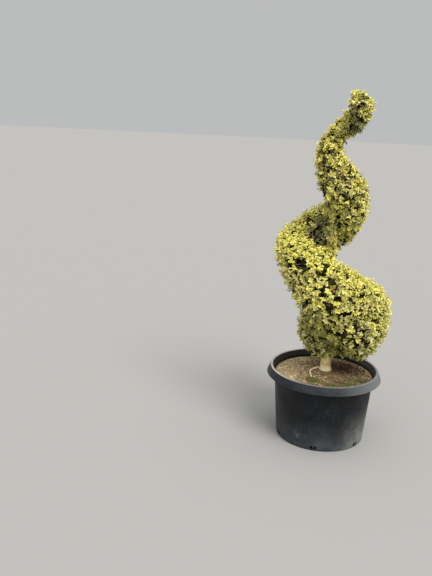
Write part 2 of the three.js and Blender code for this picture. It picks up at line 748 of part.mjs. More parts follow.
function piece(name, geometry, color, roughness) {
  const material = new THREE.MeshStandardMaterial({ color, roughness, metalness: 0 });
  const mesh = new THREE.Mesh(geometry, material);
  mesh.name = name;
  return mesh;
}

function buildTopiary() {
  const topiary = new THREE.Group();
  topiary.add(piece('pot', potGeometry(), 0x2b2d30, 0.55));
  topiary.add(piece('soil', soilGeometry(), 0x7d6545, 0.95));
  topiary.add(piece('trunk', trunkGeometry(0), 0xb39a68, 0.85));

  const trunkClearance = toSolid(trunkGeometry(GAP));
  const root = toSolid(rootGeometry()).subtract(trunkClearance);
  topiary.add(piece('surface_root', toGeometry(largestPiece(root)), 0xcdb68a, 0.8));

  const boughs = [];
  let limbClearance = trunkClearance;
  for (let i = 0; i < BOUGH_COUNT; i += 1) {
    const bough = boughAt(BOUGH_FIRST_TURN + BOUGH_STEP * i);
    boughs.push(bough);
    const solid = largestPiece(boughSolid(bough, 0).subtract(trunkClearance));
    const name = `bough_${String(i + 1).padStart(2, '0')}`;
    topiary.add(piece(name, toGeometry(solid), 0x9c8558, 0.85));
    limbClearance = limbClearance.add(boughSolid(bough, GAP));
  }

  const spheres = limbSpheres(boughs);
  for (let index = 0; index < MASS_COUNT; index += 1) {
    const geometry = massGeometry(index, spheres, limbClearance);
    topiary.add(piece(`foliage_${index + 1}`, geometry, 0xb5ac4b, 0.7));
  }
  return topiary;
}

export default buildTopiary();
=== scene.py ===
# The looks of a spiral topiary in its nursery pot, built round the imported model. Metres, +Z up,
# +X to the right and +Y away, as the plant is seen from its front. The foliage is one clipped
# band that winds up the trunk: its shape follows the same formula as the solids', from the
# same sizes.

import math

import bpy
import numpy as np
from mathutils import Matrix, Vector, noise
from mathutils.kdtree import KDTree


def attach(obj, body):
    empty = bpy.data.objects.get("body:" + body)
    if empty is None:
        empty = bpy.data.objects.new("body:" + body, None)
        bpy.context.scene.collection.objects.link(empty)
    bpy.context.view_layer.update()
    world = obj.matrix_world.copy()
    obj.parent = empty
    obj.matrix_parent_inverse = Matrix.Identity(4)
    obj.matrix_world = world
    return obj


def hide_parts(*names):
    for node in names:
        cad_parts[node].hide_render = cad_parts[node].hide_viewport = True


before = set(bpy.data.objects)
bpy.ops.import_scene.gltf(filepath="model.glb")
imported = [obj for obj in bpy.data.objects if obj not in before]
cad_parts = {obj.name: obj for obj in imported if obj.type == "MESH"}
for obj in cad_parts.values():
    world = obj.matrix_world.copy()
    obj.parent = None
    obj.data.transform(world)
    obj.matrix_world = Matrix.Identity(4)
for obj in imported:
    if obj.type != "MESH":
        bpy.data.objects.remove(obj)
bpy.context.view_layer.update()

BODY = "root"
UP = np.array([0.0, 0.0, 1.0])
FLAT = np.array([1, 1, 0])
FOLIAGE_NODES = [name for name in sorted(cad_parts) if name.startswith("foliage")]
BOUGH_NODES = [name for name in sorted(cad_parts) if name.startswith("bough")]

# Seeds of what is strewn at random
SEEDS = {
    "sprays": 17, "leaves": 23, "old leaves": 27, "shade leaves": 29, "twigs": 31,
    "chips": 41, "moss": 43,
}

# Pot, as in the solids
POT_HEIGHT = 0.3125
POT_BASE_RADIUS = 0.1915
POT_BASE_ROUNDING = 0.005
POT_BASE_EDGE_Z = 0.007
POT_SHOULDER_RADIUS = 0.215
POT_SHOULDER_Z = 0.283
POT_WALL = 0.0036
POT_WALL_SLOPE = (POT_SHOULDER_RADIUS - POT_BASE_RADIUS) / POT_SHOULDER_Z
POT_FLOOR = 0.004
RIM_LIP_RADIUS = 0.2335
RIM_LIP_ROUNDING = 0.001
RIM_MOUTH_RADIUS = 0.224
RIM_BAND_RADIUS = 0.248
RIM_BAND_LOW_Z = 0.279
RIM_BAND_THICKNESS = 0.004
RIM_GROOVE_TOP_Z = 0.290
RIM_STEP_RADIUS = 0.2195
RIM_STEP_Z = 0.288
RIM_STEP_RISE = 0.004
RIM_STEP_DROP = 0.006
DRAIN_GROUPS = 6
DRAIN_FIRST_ANGLE = -95
DRAIN_PAIR_SPACING = 0.018
DRAIN_WIDTH = 0.009
DRAIN_HEIGHT = 0.012
DRAIN_LOW_Z = 0.009
DRAIN_CORNER_RADIUS = 0.0022
DRAIN_CORNER_STEPS = 4
DRAIN_REACH = 0.016
POT_SEGMENTS = 180
POT_CORNER_ROUNDING = 0.0016
POT_SHARP_ANGLE = 40

# Potting mix, as in the solids, and the size and depth of each relief that its surface has
SOIL_EDGE_RADIUS = 0.2106
SOIL_EDGE_Z = 0.281
SOIL_SLOPE_RADIUS = 0.150
SOIL_SLOPE_Z = 0.286
SOIL_TOP_RADIUS = 0.076
SOIL_TOP_Z = 0.290
SOIL_SKIRT_Z = 0.262
SOIL_RINGS = 72
SOIL_SPOKES = 150
SOIL_RELIEF = [(0.030, 0.0024), (0.007, 0.0013), (0.003, 0.0008)]

# Toward the pot, the trunk and the root the relief fades: where it ends, how long it takes to
# come up from there, and what is left of it beside the trunk
SOIL_EDGE_FADE = 0.004
SOIL_TRUNK_FADE = (0.020, 0.020, 0.15)
SOIL_ROOT_FADE = (0.003, 0.010)

# Where the potting mix is moist and in shade: its darker patch there is partly damp and partly painted
# shade
DAMP_SHADE_MIDDLE = (0.098, 0.050)
DAMP_SHADE_RADIUS = 0.075

# Chips of bark on the potting mix. How far they keep from the pot, the trunk and the root, and
# for each tint the least paleness and the colour.
CHIP_CLEARANCES = (0.006, 0.009, 0.008)
CHIP_COUNT = 3000
CHIP_LEAST_LENGTH = 0.003
CHIP_MORE_LENGTH = 0.010
CHIP_LENGTH_POWER = 2.5
CHIP_WIDTH_SHARES = (0.25, 0.75)
CHIP_THICKNESSES = (0.0009, 0.0022)
CHIP_TILT = 0.22
CHIP_LIFT = 0.0012
# How pale the chips are: a base, paler to the left, darker toward the front by painted shadow, darker in
# the moist patch by damp and painted shade, and a random spread
CHIP_PALENESS = 0.46
CHIP_PALER_LEFT = 1.7
CHIP_FRONT_SHADOW = 0.9
CHIP_DAMP_SHADE_DARKENING = 0.8
CHIP_PALENESS_JITTER = 0.2
CHIP_TINTS = {
    "straw": (0.62, (222, 202, 160)),
    "tan": (0.36, (168, 144, 106)),
    "brown": (0.06, (120, 98, 70)),
    "dark": (-math.inf, (68, 52, 38)),
}

# Moss on the potting mix: the middle of each patch and its radius
MOSS_PATCHES = [
    (0.040, -0.146, 0.026), (0.114, -0.118, 0.024), (0.160, -0.062, 0.030),
    (-0.052, -0.106, 0.020), (-0.026, -0.112, 0.020),
]
MOSS_BLADES = 420
MOSS_HEIGHTS = (0.003, 0.007)
MOSS_HALF_WIDTH = 0.0011
MOSS_SPREAD = 0.5
MOSS_LEAN = 0.5
MOSS_CLEARANCE = 0.004
MOSS_LIFT = 0.0004

# Trunk, as in the solids
TRUNK_X = 0.006
TRUNK_Y = 0.026
TRUNK_FOOT_Z = 0.2903
TRUNK_TOP_Z = 1.428
TRUNK_FOOT_RADIUS = 0.024
TRUNK_TIP_RADIUS = 0.003
TRUNK_FLARE = 0.0035
TRUNK_FLARE_HEIGHT = 0.014
TRUNK_SWAY = 0.003
TRUNK_SWAY_LENGTH = 0.150
TRUNK_LEAN_Z = 1.290
TRUNK_LEAN = 0.030
TRUNK_SIDES = 44
TRUNK_STEPS = 230
TRUNK_RELIEF = 0.0009
TRUNK_FOOT_FADE = 0.002
COLLAR_DEPTH = 0.003
COLLAR_SIZE = 0.013

# Above the lower turns the trunk, and with it the band's axis, stands off to the left. Both
# come back under the tip.
AXIS_SHIFT = -0.028
TRUNK_BEND_LOW_Z = 0.350
TRUNK_BEND_HIGH_Z = 0.850
BAND_BEND_LOW_Z = 0.700
BAND_BEND_HIGH_Z = 0.920
AXIS_RETURN_Z = 1.250
AXIS_TOP_Z = 1.400

# Root that lies on the potting mix, as in the solids
ROOT_PATH = np.array([
    (-0.0225, 0.0355), (-0.040, 0.0185), (-0.0555, -0.004),
    (-0.0585, -0.022), (-0.0555, -0.050), (-0.050, -0.082),
])
ROOT_STEPS = 60
ROOT_NEAR_STEPS = 40
ROOT_RADIUS = 0.0042
ROOT_END_RADIUS = 0.0028
ROOT_REST = 0.0005
ROOT_SIDES = 14
ROOT_RELIEF = 0.0003

# Foliage band, as in the solids: height of its middle, reach from the trunk's middle, rise above
# and drop below its own middle, at every quarter turn
BAND_STATIONS = np.array([
    (0.455, 0.066, 0.095, 0.110),
    (0.468, 0.143, 0.118, 0.110),
    (0.482, 0.195, 0.146, 0.150),
    (0.520, 0.264, 0.194, 0.178),
    (0.648, 0.254, 0.190, 0.176),
    (0.812, 0.244, 0.113, 0.147),
    (0.928, 0.182, 0.132, 0.144),
    (1.022, 0.158, 0.128, 0.138),
    (1.122, 0.122, 0.154, 0.115),
    (1.210, 0.094, 0.092, 0.106),
    (1.326, 0.114, 0.098, 0.076),
    (1.408, 0.114, 0.062, 0.098),
    (1.441, 0.112, 0.066, 0.066),
])
STATION_STEP = 0.25
FIRST_STATION = -0.75
BAND_START = -0.86
BAND_END = 2.262
START_ROUNDING = 0.16
END_ROUNDING = 0.14
WAY_LENGTH = BAND_END - BAND_START + (START_ROUNDING + END_ROUNDING) * (np.pi / 2 - 1)
BAND_INNER_RADIUS = 0.016
SECTION_POWER = 2.3
LOWER_OUTER_POWER = 1.7
LOWER_INNER_POWER = 3.2

# Short growth that clothes the trunk: stretches of it as lowest and highest places, and how
# deep in the band a shoot may lie before it is left out
SLEEVES = [(0.362, 0.500, 0.0), (0.790, 1.400, 0.5)]
SLEEVE_REACH = 0.032
SLEEVE_LIMIT = 0.046

# Boughs, as in the solids
BOUGH_FIRST_TURN = -0.625
BOUGH_STEP = 0.25
BOUGH_START_LOW = 0.45
BOUGH_BEND_UP = 0.12
BOUGH_END_HIGH = 0.05
BOUGH_RUN = 0.62
BOUGH_BEND = 0.6
BOUGH_ROOT_DEPTH = 0.6
BOUGH_LEAST_RADIUS = 0.0016
BOUGH_TRUNK_SHARE = 0.22
BOUGH_TAPER = 0.5
BOUGH_SIDES = 12
BOUGH_STEPS = 26
BOUGH_RELIEF = 0.0004

# Twigs: branches and branchlets, then a stem and a shoot for each spray. The places of their
# ends: spacing, share of the way out to the band's surface and places tried. The rise is how
# much lower the limb that they grow from should lie. The shape is rings, sides and two radii.
BRANCH_PLACES = (0.070, 0.42, 8000)
BRANCH_RISE = 0.03
BRANCH_SHAPE = (7, 6, 0.0034, 0.0021)
BRANCHLET_PLACES = (0.034, 0.76, 24000)
BRANCHLET_RISE = 0.012
BRANCHLET_SHAPE = (5, 4, 0.0021, 0.0013)
TWIG_START_BEND = 0.35
TWIG_END_BEND = 0.25
LIMB_FOOT_DROP = 0.03
LIMB_STEP = 0.02
BOUGH_TWIG_STEPS = 14
BOUGH_BARE_STEPS = 3
STEM_RISE = 0.006
STEM_SHAPE = (3, 3, 0.0013, 0.0010)
SHOOT_SHAPE = (3, 3, 0.0011, 0.0006)

# Sprays: a short shoot with leaves in crossed pairs
SPRAY_SPACING = 0.0104
SPRAY_LENGTH = 0.036
SPRAY_SIZES = (0.8, 1.15)
SPRAY_SPREAD = 0.20
SPRAY_LIFT = 0.20
SPRAY_TIP_INSET = 0.0075
SHOOT_CLEARANCE = 0.012

# Gaps in the clipped surface: noise below the level leaves a shoot out
GAP_SIZE = 0.014
GAP_JITTER = 0.12
GAP_LEVEL = -0.30
UNDERSIDE_GAP_LEVEL = -0.08
DIM_GAPS = 0.22
LOW_GAPS = 0.14
LOW_TOP_Z = 0.62
LOW_FULL_Z = 0.45

# Tufts: the clipped surface is made up of small domes of shoots with dark clefts between
TUFT_SPACING = 0.027
TUFT_RADIUS = 0.017
TUFT_DEPTH = 0.013
TUFT_SPREAD = 0.45
TUFT_JITTER = 0.005
CROWN_LIMIT = 1.03
OTHER_TURN_DEPTH = 0.80

# Leaves: along the shoot each pair has its share of the shoot's length, its angle out from it
# and its size. The oldest pairs, nearest the root, are plain green.
LEAF_LENGTH = 0.0132
LEAF_WIDTH = 0.0083
LEAF_SIZES = (0.85, 1.2)
LEAF_FOLDS = (0.05, 0.45)
LEAF_CURLS = (0.0, 0.30)
LEAF_ANGLE_JITTER = 9
LEAF_SIDE_JITTER = 0.22
LEAF_FACE_JITTER = 0.2
LEAF_SKY = 0.35
LEAF_KEPT_SHARE = 0.72
LEAF_CLEARANCE = 0.002
OLD_PAIRS = [(0.10, 76, 1.1), (0.30, 70, 1.15)]
SPRAY_PAIRS = [(0.50, 66, 1.05), (0.70, 58, 1.05), (0.87, 44, 0.9), (1.0, 20, 0.65)]

# Shade leaves, deep in the band
SHADE_SPACING = 0.0155
SHADE_INSETS = (0.038, 0.066)
INNER_SPACING = 0.018
INNER_FILL = 0.5
SHADE_LENGTH = 0.030
SHADE_OUTWARD = 0.35
SHADE_SKY = 0.4
SHADE_COVER = 0.011

# Hollows in the clipped surface: turn, angle round the band's section, radius
HOLLOW_DEPTH = 0.036
HOLLOW_MARGIN = 0.012
HOLLOWS = [
    (0.355, 37, 0.020), (0.337, 39, 0.020), (0.396, 24, 0.009), (0.382, 16, 0.009),
    (0.290, 36, 0.010), (0.250, 34, 0.012), (0.390, 18, 0.012), (0.360, -8, 0.012),
    (0.255, -4, 0.015), (0.310, -32, 0.012), (0.195, 20, 0.008), (0.210, 0, 0.010),
    (0.180, -8, 0.009), (0.240, -30, 0.011), (0.235, -48, 0.012), (0.180, -38, 0.010),
    (0.200, -65, 0.011), (0.145, -52, 0.011), (2.160, 0, 0.010), (1.155, -20, 0.006),
]

# Places where the leaves are greener and dimmer, in the grooves between the turns: the middle
# of each and its radius
DIM_PLACES = [
    ((-0.060, 0.030, 0.930), 0.075),
    ((-0.045, 0.030, 0.880), 0.060),
    ((0.025, -0.045, 1.380), 0.035),
    ((0.050, 0.010, 1.330), 0.050),
]

# Places with some bronze sprays: the middle of each, its radius and the share of them
BRONZE_PLACES = [
    ((-0.205, -0.110, 0.725), 0.026, 0.6),
    ((0.010, -0.090, 1.110), 0.010, 1.0),
    ((-0.030, -0.050, 1.425), 0.020, 0.3),
    ((0.108, 0.000, 1.070), 0.050, 0.12),
]
BRONZE_SHARE = 0.003

# A bare shoot that stands out of the trunk above the lower turns and forks: its foot, its fork,
# its two ends, its radii there and how far in front of it the leaves are open
STUB_FOOT = (-0.014, -0.008, 0.858)
STUB_FORK = (-0.021, -0.014, 0.893)
STUB_ENDS = [(-0.006, -0.020, 0.914), (-0.032, -0.018, 0.897)]
STUB_RADII = (0.0036, 0.0027, 0.0016)
STUB_STEPS = 7
STUB_SIDES = 10
STUB_OPEN = 0.050
STUB_OPEN_RADIUS = 0.010

# Leaf tints as sRGB colours: the wide margin of a young leaf and its heart
LEAF_TINTS = {
    "lemon": ((255, 244, 134), (216, 208, 90)),
    "gold": ((250, 234, 112), (182, 178, 66)),
    "cream": ((242, 231, 142), (140, 142, 74)),
    # ivory: paler than lemon, painted light for the shaded foliage low down
    "ivory": ((255, 247, 174), (150, 152, 82)),
    "lime": ((214, 208, 104), (112, 116, 48)),
    "bronze": ((214, 174, 100), (146, 118, 62)),
    "shady": ((178, 174, 118), (66, 72, 42)),
}
OLD_OLIVE = (112, 112, 44)
OLD_DARK = (64, 66, 27)
SHADE_GREENS = {"deep": (36, 38, 14), "dull": (62, 62, 26)}

# How the tints are dealt out: the least light for each, what adds to the light or takes from it,
# and the share of sprays that are bright or green whatever the light: everywhere, and how much
# larger it is low down and on undersides, where the extra bright and green ones are painted light
# and shade in foliage that lies in shade
TINT_LIGHTS = {"lemon": 0.35, "gold": -0.1, "cream": -1.0, "lime": -1.5}
LIGHT_JITTER = 0.35
CLEFT_SHADE = 0.7
DIM_SHADE = 1.8
TOP_LIGHT = 0.4
TOP_LIGHT_Z = (1.30, 1.42)
BRIGHT_SHARES = (0.20, 0.34)
GREEN_SHARES = (0.10, 0.25)

# Soft suns: the place that each shines from, its softness in degrees, its strength and colour
SUNS = {
    "key": ((0.9, -1.0, 1.5), 32, 2.6, (1.0, 0.98, 0.94)),
    "top": ((0.1, -0.1, 1.0), 60, 1.5, (1.0, 0.99, 0.97)),
    "front": ((-0.3, -1.0, 0.3), 60, 0.65, (1.0, 0.99, 0.96)),
}
SKY_COLOR = (242, 243, 244)
SKY_STRENGTH = 0.56
FLOOR_COLOR = (156, 155, 153)
FLOOR_SIZE = 30.0

# Camera, fitted to the photograph: place, turn to the left, tilt down, roll and lens
CAMERA_PLACE = (0.0, -2.8662, 1.4062)
CAMERA_YAW = 9.822
CAMERA_PITCH = 14.991
CAMERA_ROLL = 2.350
CAMERA_FOCAL_PIXELS = 684.22
IMAGE_HEIGHT_PIXELS = 576
SENSOR_WIDTH = 36.0


# Meshes

def unit(vectors):
    return vectors / np.maximum(np.linalg.norm(vectors, axis=-1, keepdims=True), 1e-12)


def seeded(what):
    return np.random.default_rng(SEEDS[what])


def mesh_object(name, points, face_groups, smooth=True):
    """An object from an array of points and one or more arrays of faces."""
    mesh = bpy.data.meshes.new(name)
    faces = [face for group in face_groups for face in np.asarray(group).tolist()]
    mesh.from_pydata(np.reshape(points, (-1, 3)).tolist(), [], faces, shade_flat=not smooth)
    piece = bpy.data.objects.new(name, mesh)
    bpy.context.scene.collection.objects.link(piece)
    return piece


def hand_over(piece, finish, nodes):
    """Gives a finished piece its material, its body and the nodes that it stands for."""
    piece.data.materials.append(finish.material)
    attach(piece, BODY)
    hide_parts(*nodes)


def add_piece(name, points, face_groups, finish, nodes, smooth=True):
    hand_over(mesh_object(name, points, face_groups, smooth), finish, nodes)


def copies(template, points):
    """The faces of one copy, repeated for every row of points in a joined mesh."""
    offsets = np.arange(len(points))[:, None, None] * points.shape[1]
    return (np.asarray(template)[None] + offsets).reshape(-1, len(template[0]))


def tube_faces(rings, sides):
    """The side faces of one tube and the fans that close its two ends."""
    ring = np.arange(rings - 1)[:, None] * sides
    side = np.arange(sides)[None]
    after = (side + 1) % sides
    quads = np.stack([ring + side, ring + after, ring + after + sides, ring + side + sides], -1)
    last = (rings - 1) * sides
    low = [(0, k + 1, k) for k in range(1, sides - 1)]
    high = [(last, last + k, last + k + 1) for k in range(1, sides - 1)]
    return quads.reshape(-1, 4), np.array(low + high)


def tubes(paths, radii, sides):
    """Points of many tubes, a row for each, and their faces. paths is tubes by rings by 3."""
    count, rings = paths.shape[:2]
    along = unit(np.gradient(paths, axis=1))
    whole = unit(paths[:, -1] - paths[:, 0])
    side_axis = np.where(np.abs(whole[:, 2:]) > 0.8, np.array([1.0, 0.0, 0.0]), UP)
    first = unit(np.cross(side_axis[:, None], along))
    second = np.cross(along, first)
    angle = 2 * np.pi * np.arange(sides) / sides
    ring = first[:, :, None] * np.cos(angle)[:, None] + second[:, :, None] * np.sin(angle)[:, None]
    points = paths[:, :, None] + ring * radii[:, :, None, None]
    points = points.reshape(count, -1, 3)
    return points, [copies(faces, points) for faces in tube_faces(rings, sides)]


def bent_paths(start, bend, end, steps):
    """Quadratic curves, each from start past bend to end: one of them or many."""
    t = np.linspace(0, 1, steps)[:, None]
    start, bend, end = (point[..., None, :] for point in (start, bend, end))
    return (1 - t) ** 2 * start + 2 * t * (1 - t) * bend + t ** 2 * end


def curve_at(rows, place):
    """A smooth curve through rows of numbers, at places that are counted in rows."""
    slopes = np.gradient(rows, axis=0)
    place = np.clip(place, 0, len(rows) - 1)
    low = np.minimum(place.astype(int), len(rows) - 2)
    t = (place - low)[..., None]
    start = (2 * t ** 3 - 3 * t ** 2 + 1) * rows[low]
    end = (3 * t ** 2 - 2 * t ** 3) * rows[low + 1]
    start_slope = (t ** 3 - 2 * t ** 2 + t) * slopes[low]
    end_slope = (t ** 3 - t ** 2) * slopes[low + 1]
    return start + end + start_slope + end_slope


def noise_at(points, size, seed):
    """Smooth noise from about -1 to 1 whose lumps are about as large as size."""
    shift = Vector((seed * 7.1, seed * 3.7, seed * 5.3))
    return np.array([noise.noise(Vector(point) / size + shift) for point in points.tolist()])


def smoothstep(value, low, high):
    t = np.clip((value - low) / (high - low), 0, 1)
    return t * t * (3 - 2 * t)


def faded(distance, start, run, least=0.0):
    """From least at the start to 1 when the distance has run on from there."""
    return np.clip((distance - start) / run, least, 1)


# Materials

def linear(color):
    """An sRGB colour of 0 to 255 as linear values."""
    values = np.array(color) / 255
    return (*np.where(values <= 0.04045, values / 12.92, ((values + 0.055) / 1.055) ** 2.4), 1.0)


def shaded(color, factor):
    return tuple(min(255, channel * factor) for channel in color)


class Finish:
    """A material in object space: a Principled shader whose colour is laid on in coats."""

    def __init__(self, name, color, roughness, specular):
        self.material = bpy.data.materials.new(name)
        self.material.use_nodes = True
        self.tree = self.material.node_tree
        self.sockets = self.tree.nodes["Principled BSDF"].inputs
        self.sockets["Base Color"].default_value = linear(color)
        self.sockets["Roughness"].default_value = roughness
        self.sockets["Specular IOR Level"].default_value = specular
        self.color = linear(color)
        self.place = self.node("TexCoord", "Object", {})

    def node(self, kind, output, inputs, **settings):
        """An output of a new node. Its inputs are values or other nodes' outputs."""
        node = self.tree.nodes.new("ShaderNode" + kind)
        for name, value in settings.items():
            setattr(node, name, value)
        for key, value in inputs.items():
            if isinstance(value, bpy.types.NodeSocket):
                self.tree.links.new(value, node.inputs[key])
            else:
                node.inputs[key].default_value = value
        return node.outputs[output]

    def stretched(self, scale):
        return self.node("Mapping", "Vector", {"Vector": self.place, "Scale": scale})

    def noise(self, size, detail=3.0, stretch=(1, 1, 1)):
        inputs = {"Scale": 1 / size, "Detail": detail, "Roughness": 0.6}
        return self.node("TexNoise", "Fac", {"Vector": self.stretched(stretch), **inputs})

    def ranged(self, value, low, high, to_low=0.0, to_high=1.0):
        limits = {"From Min": low, "From Max": high, "To Min": to_low, "To Max": to_high}
        return self.node("MapRange", "Result", {"Value": value, **limits}, interpolation_type="SMOOTHSTEP")

    def patches(self, size, low, high, detail=3.0, stretch=(1, 1, 1)):
        """Noise that runs from 0 where it is at low to 1 where it is at high."""
        return self.ranged(self.noise(size, detail, stretch), low, high)

    def crumbs(self, size):
        """The distance from the middle of the nearest crumb."""
        return self.node("TexVoronoi", "Distance", {"Vector": self.place, "Scale": 1 / size})

    def axis(self, name):
        return self.node("SeparateXYZ", name, {"Vector": self.place})

    def span(self, name, low, high):
        """0 to 1 from low to high along an axis."""
        return self.ranged(self.axis(name), low, high)

    def from_axis(self):
        """The distance from the pot's axis."""
        return self.node("VectorMath", "Value", {0: self.stretched((1, 1, 0))}, operation="LENGTH")

    def near(self, point, radius):
        """1 at a point, falling to 0 at radius from it."""
        distance = self.node("VectorMath", "Value", {0: self.place, 1: point}, operation="DISTANCE")
        return self.ranged(distance, 0.0, radius, 1.0, 0.0)

    def math(self, operation, *values):
        return self.node("Math", "Value", dict(enumerate(values)), operation=operation)

    def coat(self, color, amount, *shares):
        """Lays a colour over the last one, as thick as the amount times its shares."""
        for share in shares:
            amount = self.math("MULTIPLY", amount, share)
        colors = {0: amount, 6: self.color, 7: linear(color)}
        self.color = self.node("Mix", 2, colors, data_type="RGBA")
        self.tree.links.new(self.color, self.sockets["Base Color"])

    def gloss(self, value, low, high):
        """Lets the roughness run from low to high as a value runs from 0 to 1."""
        self.tree.links.new(self.ranged(value, 0.0, 1.0, low, high), self.sockets["Roughness"])

    def bump(self, height, distance, strength):
        inputs = {"Height": height, "Distance": distance, "Strength": strength}
        self.tree.links.new(self.node("Bump", "Normal", inputs), self.sockets["Normal"])


def leaf_finish(name, color, roughness=0.42, specular=0.4):
    """A waxy leaf: its tint wanders a little from leaf to leaf and along each."""
    finish = Finish(name, shaded(color, 0.93), roughness, specular)
    finish.coat(shaded(color, 1.05), finish.patches(0.014, 0.35, 0.65, 2.0))
    veins = finish.patches(0.0022, 0.3, 0.7, 2.0)
    finish.coat(shaded(color, 0.86), veins, 0.35)
    finish.bump(veins, 0.0004, 0.4)
    return finish


def bark_finish(name, pale, dark):
    """Bark: long fine streaks, darker in the furrows, with pale blotches and small dark scars."""
    finish = Finish(name, dark, 0.8, 0.25)
    streaks = finish.patches(0.004, 0.35, 0.68, 4.0, (1, 1, 0.18))
    finish.coat(pale, streaks)
    finish.coat(shaded(pale, 1.12), finish.patches(0.02, 0.4, 0.62), 0.5)
    finish.coat(shaded(dark, 0.7), finish.patches(0.0016, 0.62, 0.72, 2.0, (1, 1, 2.2)), 0.6)
    finish.bump(streaks, 0.0012, 0.6)
    return finish


def trunk_finish():
    """Pale bark, paler where it meets the potting mix by painted light, and darker up among the leaves by
    painted shade.
    """
    finish = bark_finish("trunk_bark", (240, 218, 152), (198, 174, 114))
    # Painted light: the foot of the trunk is paler, where the crown shades it.
    finish.coat((255, 244, 206), finish.span("Z", SOIL_TOP_Z + 0.036, SOIL_TOP_Z + 0.002), 0.7)
    # Painted shade: the trunk darkens up among the leaves.
    finish.coat((120, 104, 74), finish.span("Z", 0.45, 0.85), 0.75)
    return finish


def twig_finish(name, color):
    """Young bark with a fine long grain."""
    finish = Finish(name, shaded(color, 0.72), 0.75, 0.3)
    grain = finish.patches(0.003, 0.35, 0.65, 3.0, (1, 1, 0.4))
    finish.coat(shaded(color, 1.15), grain)
    finish.bump(grain, 0.0005, 0.5)
    return finish


def mottled_finish(name, color, size):
    """One stuff with a fine mottle: chips and moss."""
    finish = Finish(name, shaded(color, 0.75), 0.9, 0.2)
    mottle = finish.patches(size, 0.35, 0.65)
    finish.coat(shaded(color, 1.12), mottle)
    finish.bump(mottle, size / 4, 0.5)
    return finish


def pot_wall_finish():
    """Black plastic under a film of dust that thickens toward the ground, paler low at the right from dust
    and painted light, scuffed and specked, with painted shade round the drain slots and dark inner faces."""
    finish = Finish("pot_wall_plastic", (4, 6, 10), 0.5, 0.22)
    clouds = finish.patches(0.06, 0.38, 0.68, 4.0)
    finish.coat((14, 18, 25), clouds)
    dust = finish.math("MULTIPLY_ADD", clouds, 0.4, 0.5)
    finish.coat((80, 86, 90), finish.span("Z", 0.16, 0.0), dust, 0.7)
    # Paler low at the right: partly dust, partly painted light from the right.
    side, foot = finish.span("X", 0.06, 0.20), finish.span("Z", 0.20, 0.02)
    finish.coat((136, 136, 130), side, foot, finish.ranged(clouds, 0.0, 1.0, 0.5, 1.0), 0.8)
    scuff = finish.near((-0.088, -0.172, 0.060), 0.035)
    finish.coat((140, 144, 146), scuff, finish.patches(0.016, 0.5, 0.62, 3.0, (1, 1, 3)), 0.38)
    finish.coat((120, 122, 122), finish.patches(0.006, 0.66, 0.74, 3.0, (0.35, 0.35, 2.6)), 0.25)
    finish.coat((104, 108, 112), finish.patches(0.0045, 0.48, 0.72, 4.0), 0.17)
    # Painted shade: a dark patch round each pair of drain slots.
    for angle in drain_angles():
        drain = (POT_BASE_RADIUS * math.cos(angle), POT_BASE_RADIUS * math.sin(angle), DRAIN_LOW_Z)
        finish.coat((20, 22, 24), finish.near(drain, 0.024), 0.8)
    skin = finish.math("MULTIPLY_ADD", finish.axis("Z"), -POT_WALL_SLOPE, finish.from_axis())
    finish.coat((7, 8, 10), finish.ranged(skin, POT_BASE_RADIUS - 0.0005, POT_BASE_RADIUS - 0.0012))
    finish.gloss(clouds, 0.42, 0.62)
    finish.bump(finish.noise(0.0016, 2.0), 0.0003, 0.25)
    return finish


def pot_rim_finish():
    """The rim is the same plastic, bleached blue-grey, paler toward the right by painted light, with a
    painted highlight along the lip and dust inside.
    """
    finish = Finish("pot_rim_plastic", (17, 21, 25), 0.46, 0.35)
    clouds = finish.patches(0.04, 0.35, 0.66, 4.0, (1, 1, 2))
    finish.coat((32, 37, 41), clouds)
    # Painted light: the rim is paler toward the right.
    finish.coat((112, 116, 116), finish.span("X", 0.04, 0.25), 0.8)
    # Painted highlight: a pale line along the lip, patchy all round and palest at the left.
    lip = finish.span("Z", POT_HEIGHT - 0.002, POT_HEIGHT - 0.0003)
    finish.coat((136, 138, 136), lip, finish.patches(0.012, 0.25, 0.55, 4.0), 0.7)
    finish.coat((186, 186, 178), lip, finish.span("X", -0.05, -0.20), 0.7)
    inside = finish.ranged(finish.from_axis(), RIM_MOUTH_RADIUS + 0.0006, RIM_MOUTH_RADIUS - 0.0006)
    finish.coat((58, 52, 42), inside, 0.6)
    finish.coat((140, 143, 147), finish.patches(0.005, 0.64, 0.72, 3.0, (1, 1, 3)), 0.4)
    finish.gloss(clouds, 0.4, 0.56)
    finish.bump(finish.noise(0.002, 2.0), 0.0002, 0.25)
    return finish


def soil_finish():
    """Potting mix: fine bark crumbs from straw to dark brown, darker toward the front by painted shadow,
    and darker to the right of the trunk, partly moist and partly painted shade.
    """
    finish = Finish("potting_mix", (92, 76, 54), 0.95, 0.1)
    finish.coat((170, 148, 110), finish.patches(0.0035, 0.3, 0.7, 4.0))
    crumbs = finish.crumbs(0.0042)
    finish.coat((204, 184, 142), finish.ranged(crumbs, 0.0, 0.35, 1.0, 0.0), 0.5)
    finish.coat((116, 96, 68), finish.patches(0.045, 0.42, 0.62), 0.4)
    # Painted shadow: darker toward the front.
    finish.coat((100, 86, 58), finish.span("Y", -0.02, -0.15), 0.4)
    finish.coat((196, 176, 138), finish.span("X", -0.05, -0.17), 0.4)
    # Darker to the right of the trunk: partly damp, partly painted shade.
    finish.coat((80, 62, 44), finish.near((*DAMP_SHADE_MIDDLE, SOIL_TOP_Z), DAMP_SHADE_RADIUS * 1.3), 0.6)
    finish.bump(crumbs, 0.002, 0.8)
    return finish


# The foliage band's shape

def shifted_x(z, bend_low, bend_high):
    """How the trunk and the band's axis stand off to the left between their two bends."""
    away = smoothstep(z, bend_low, bend_high) - smoothstep(z, AXIS_RETURN_Z, AXIS_TOP_Z)
    return TRUNK_X + AXIS_SHIFT * away


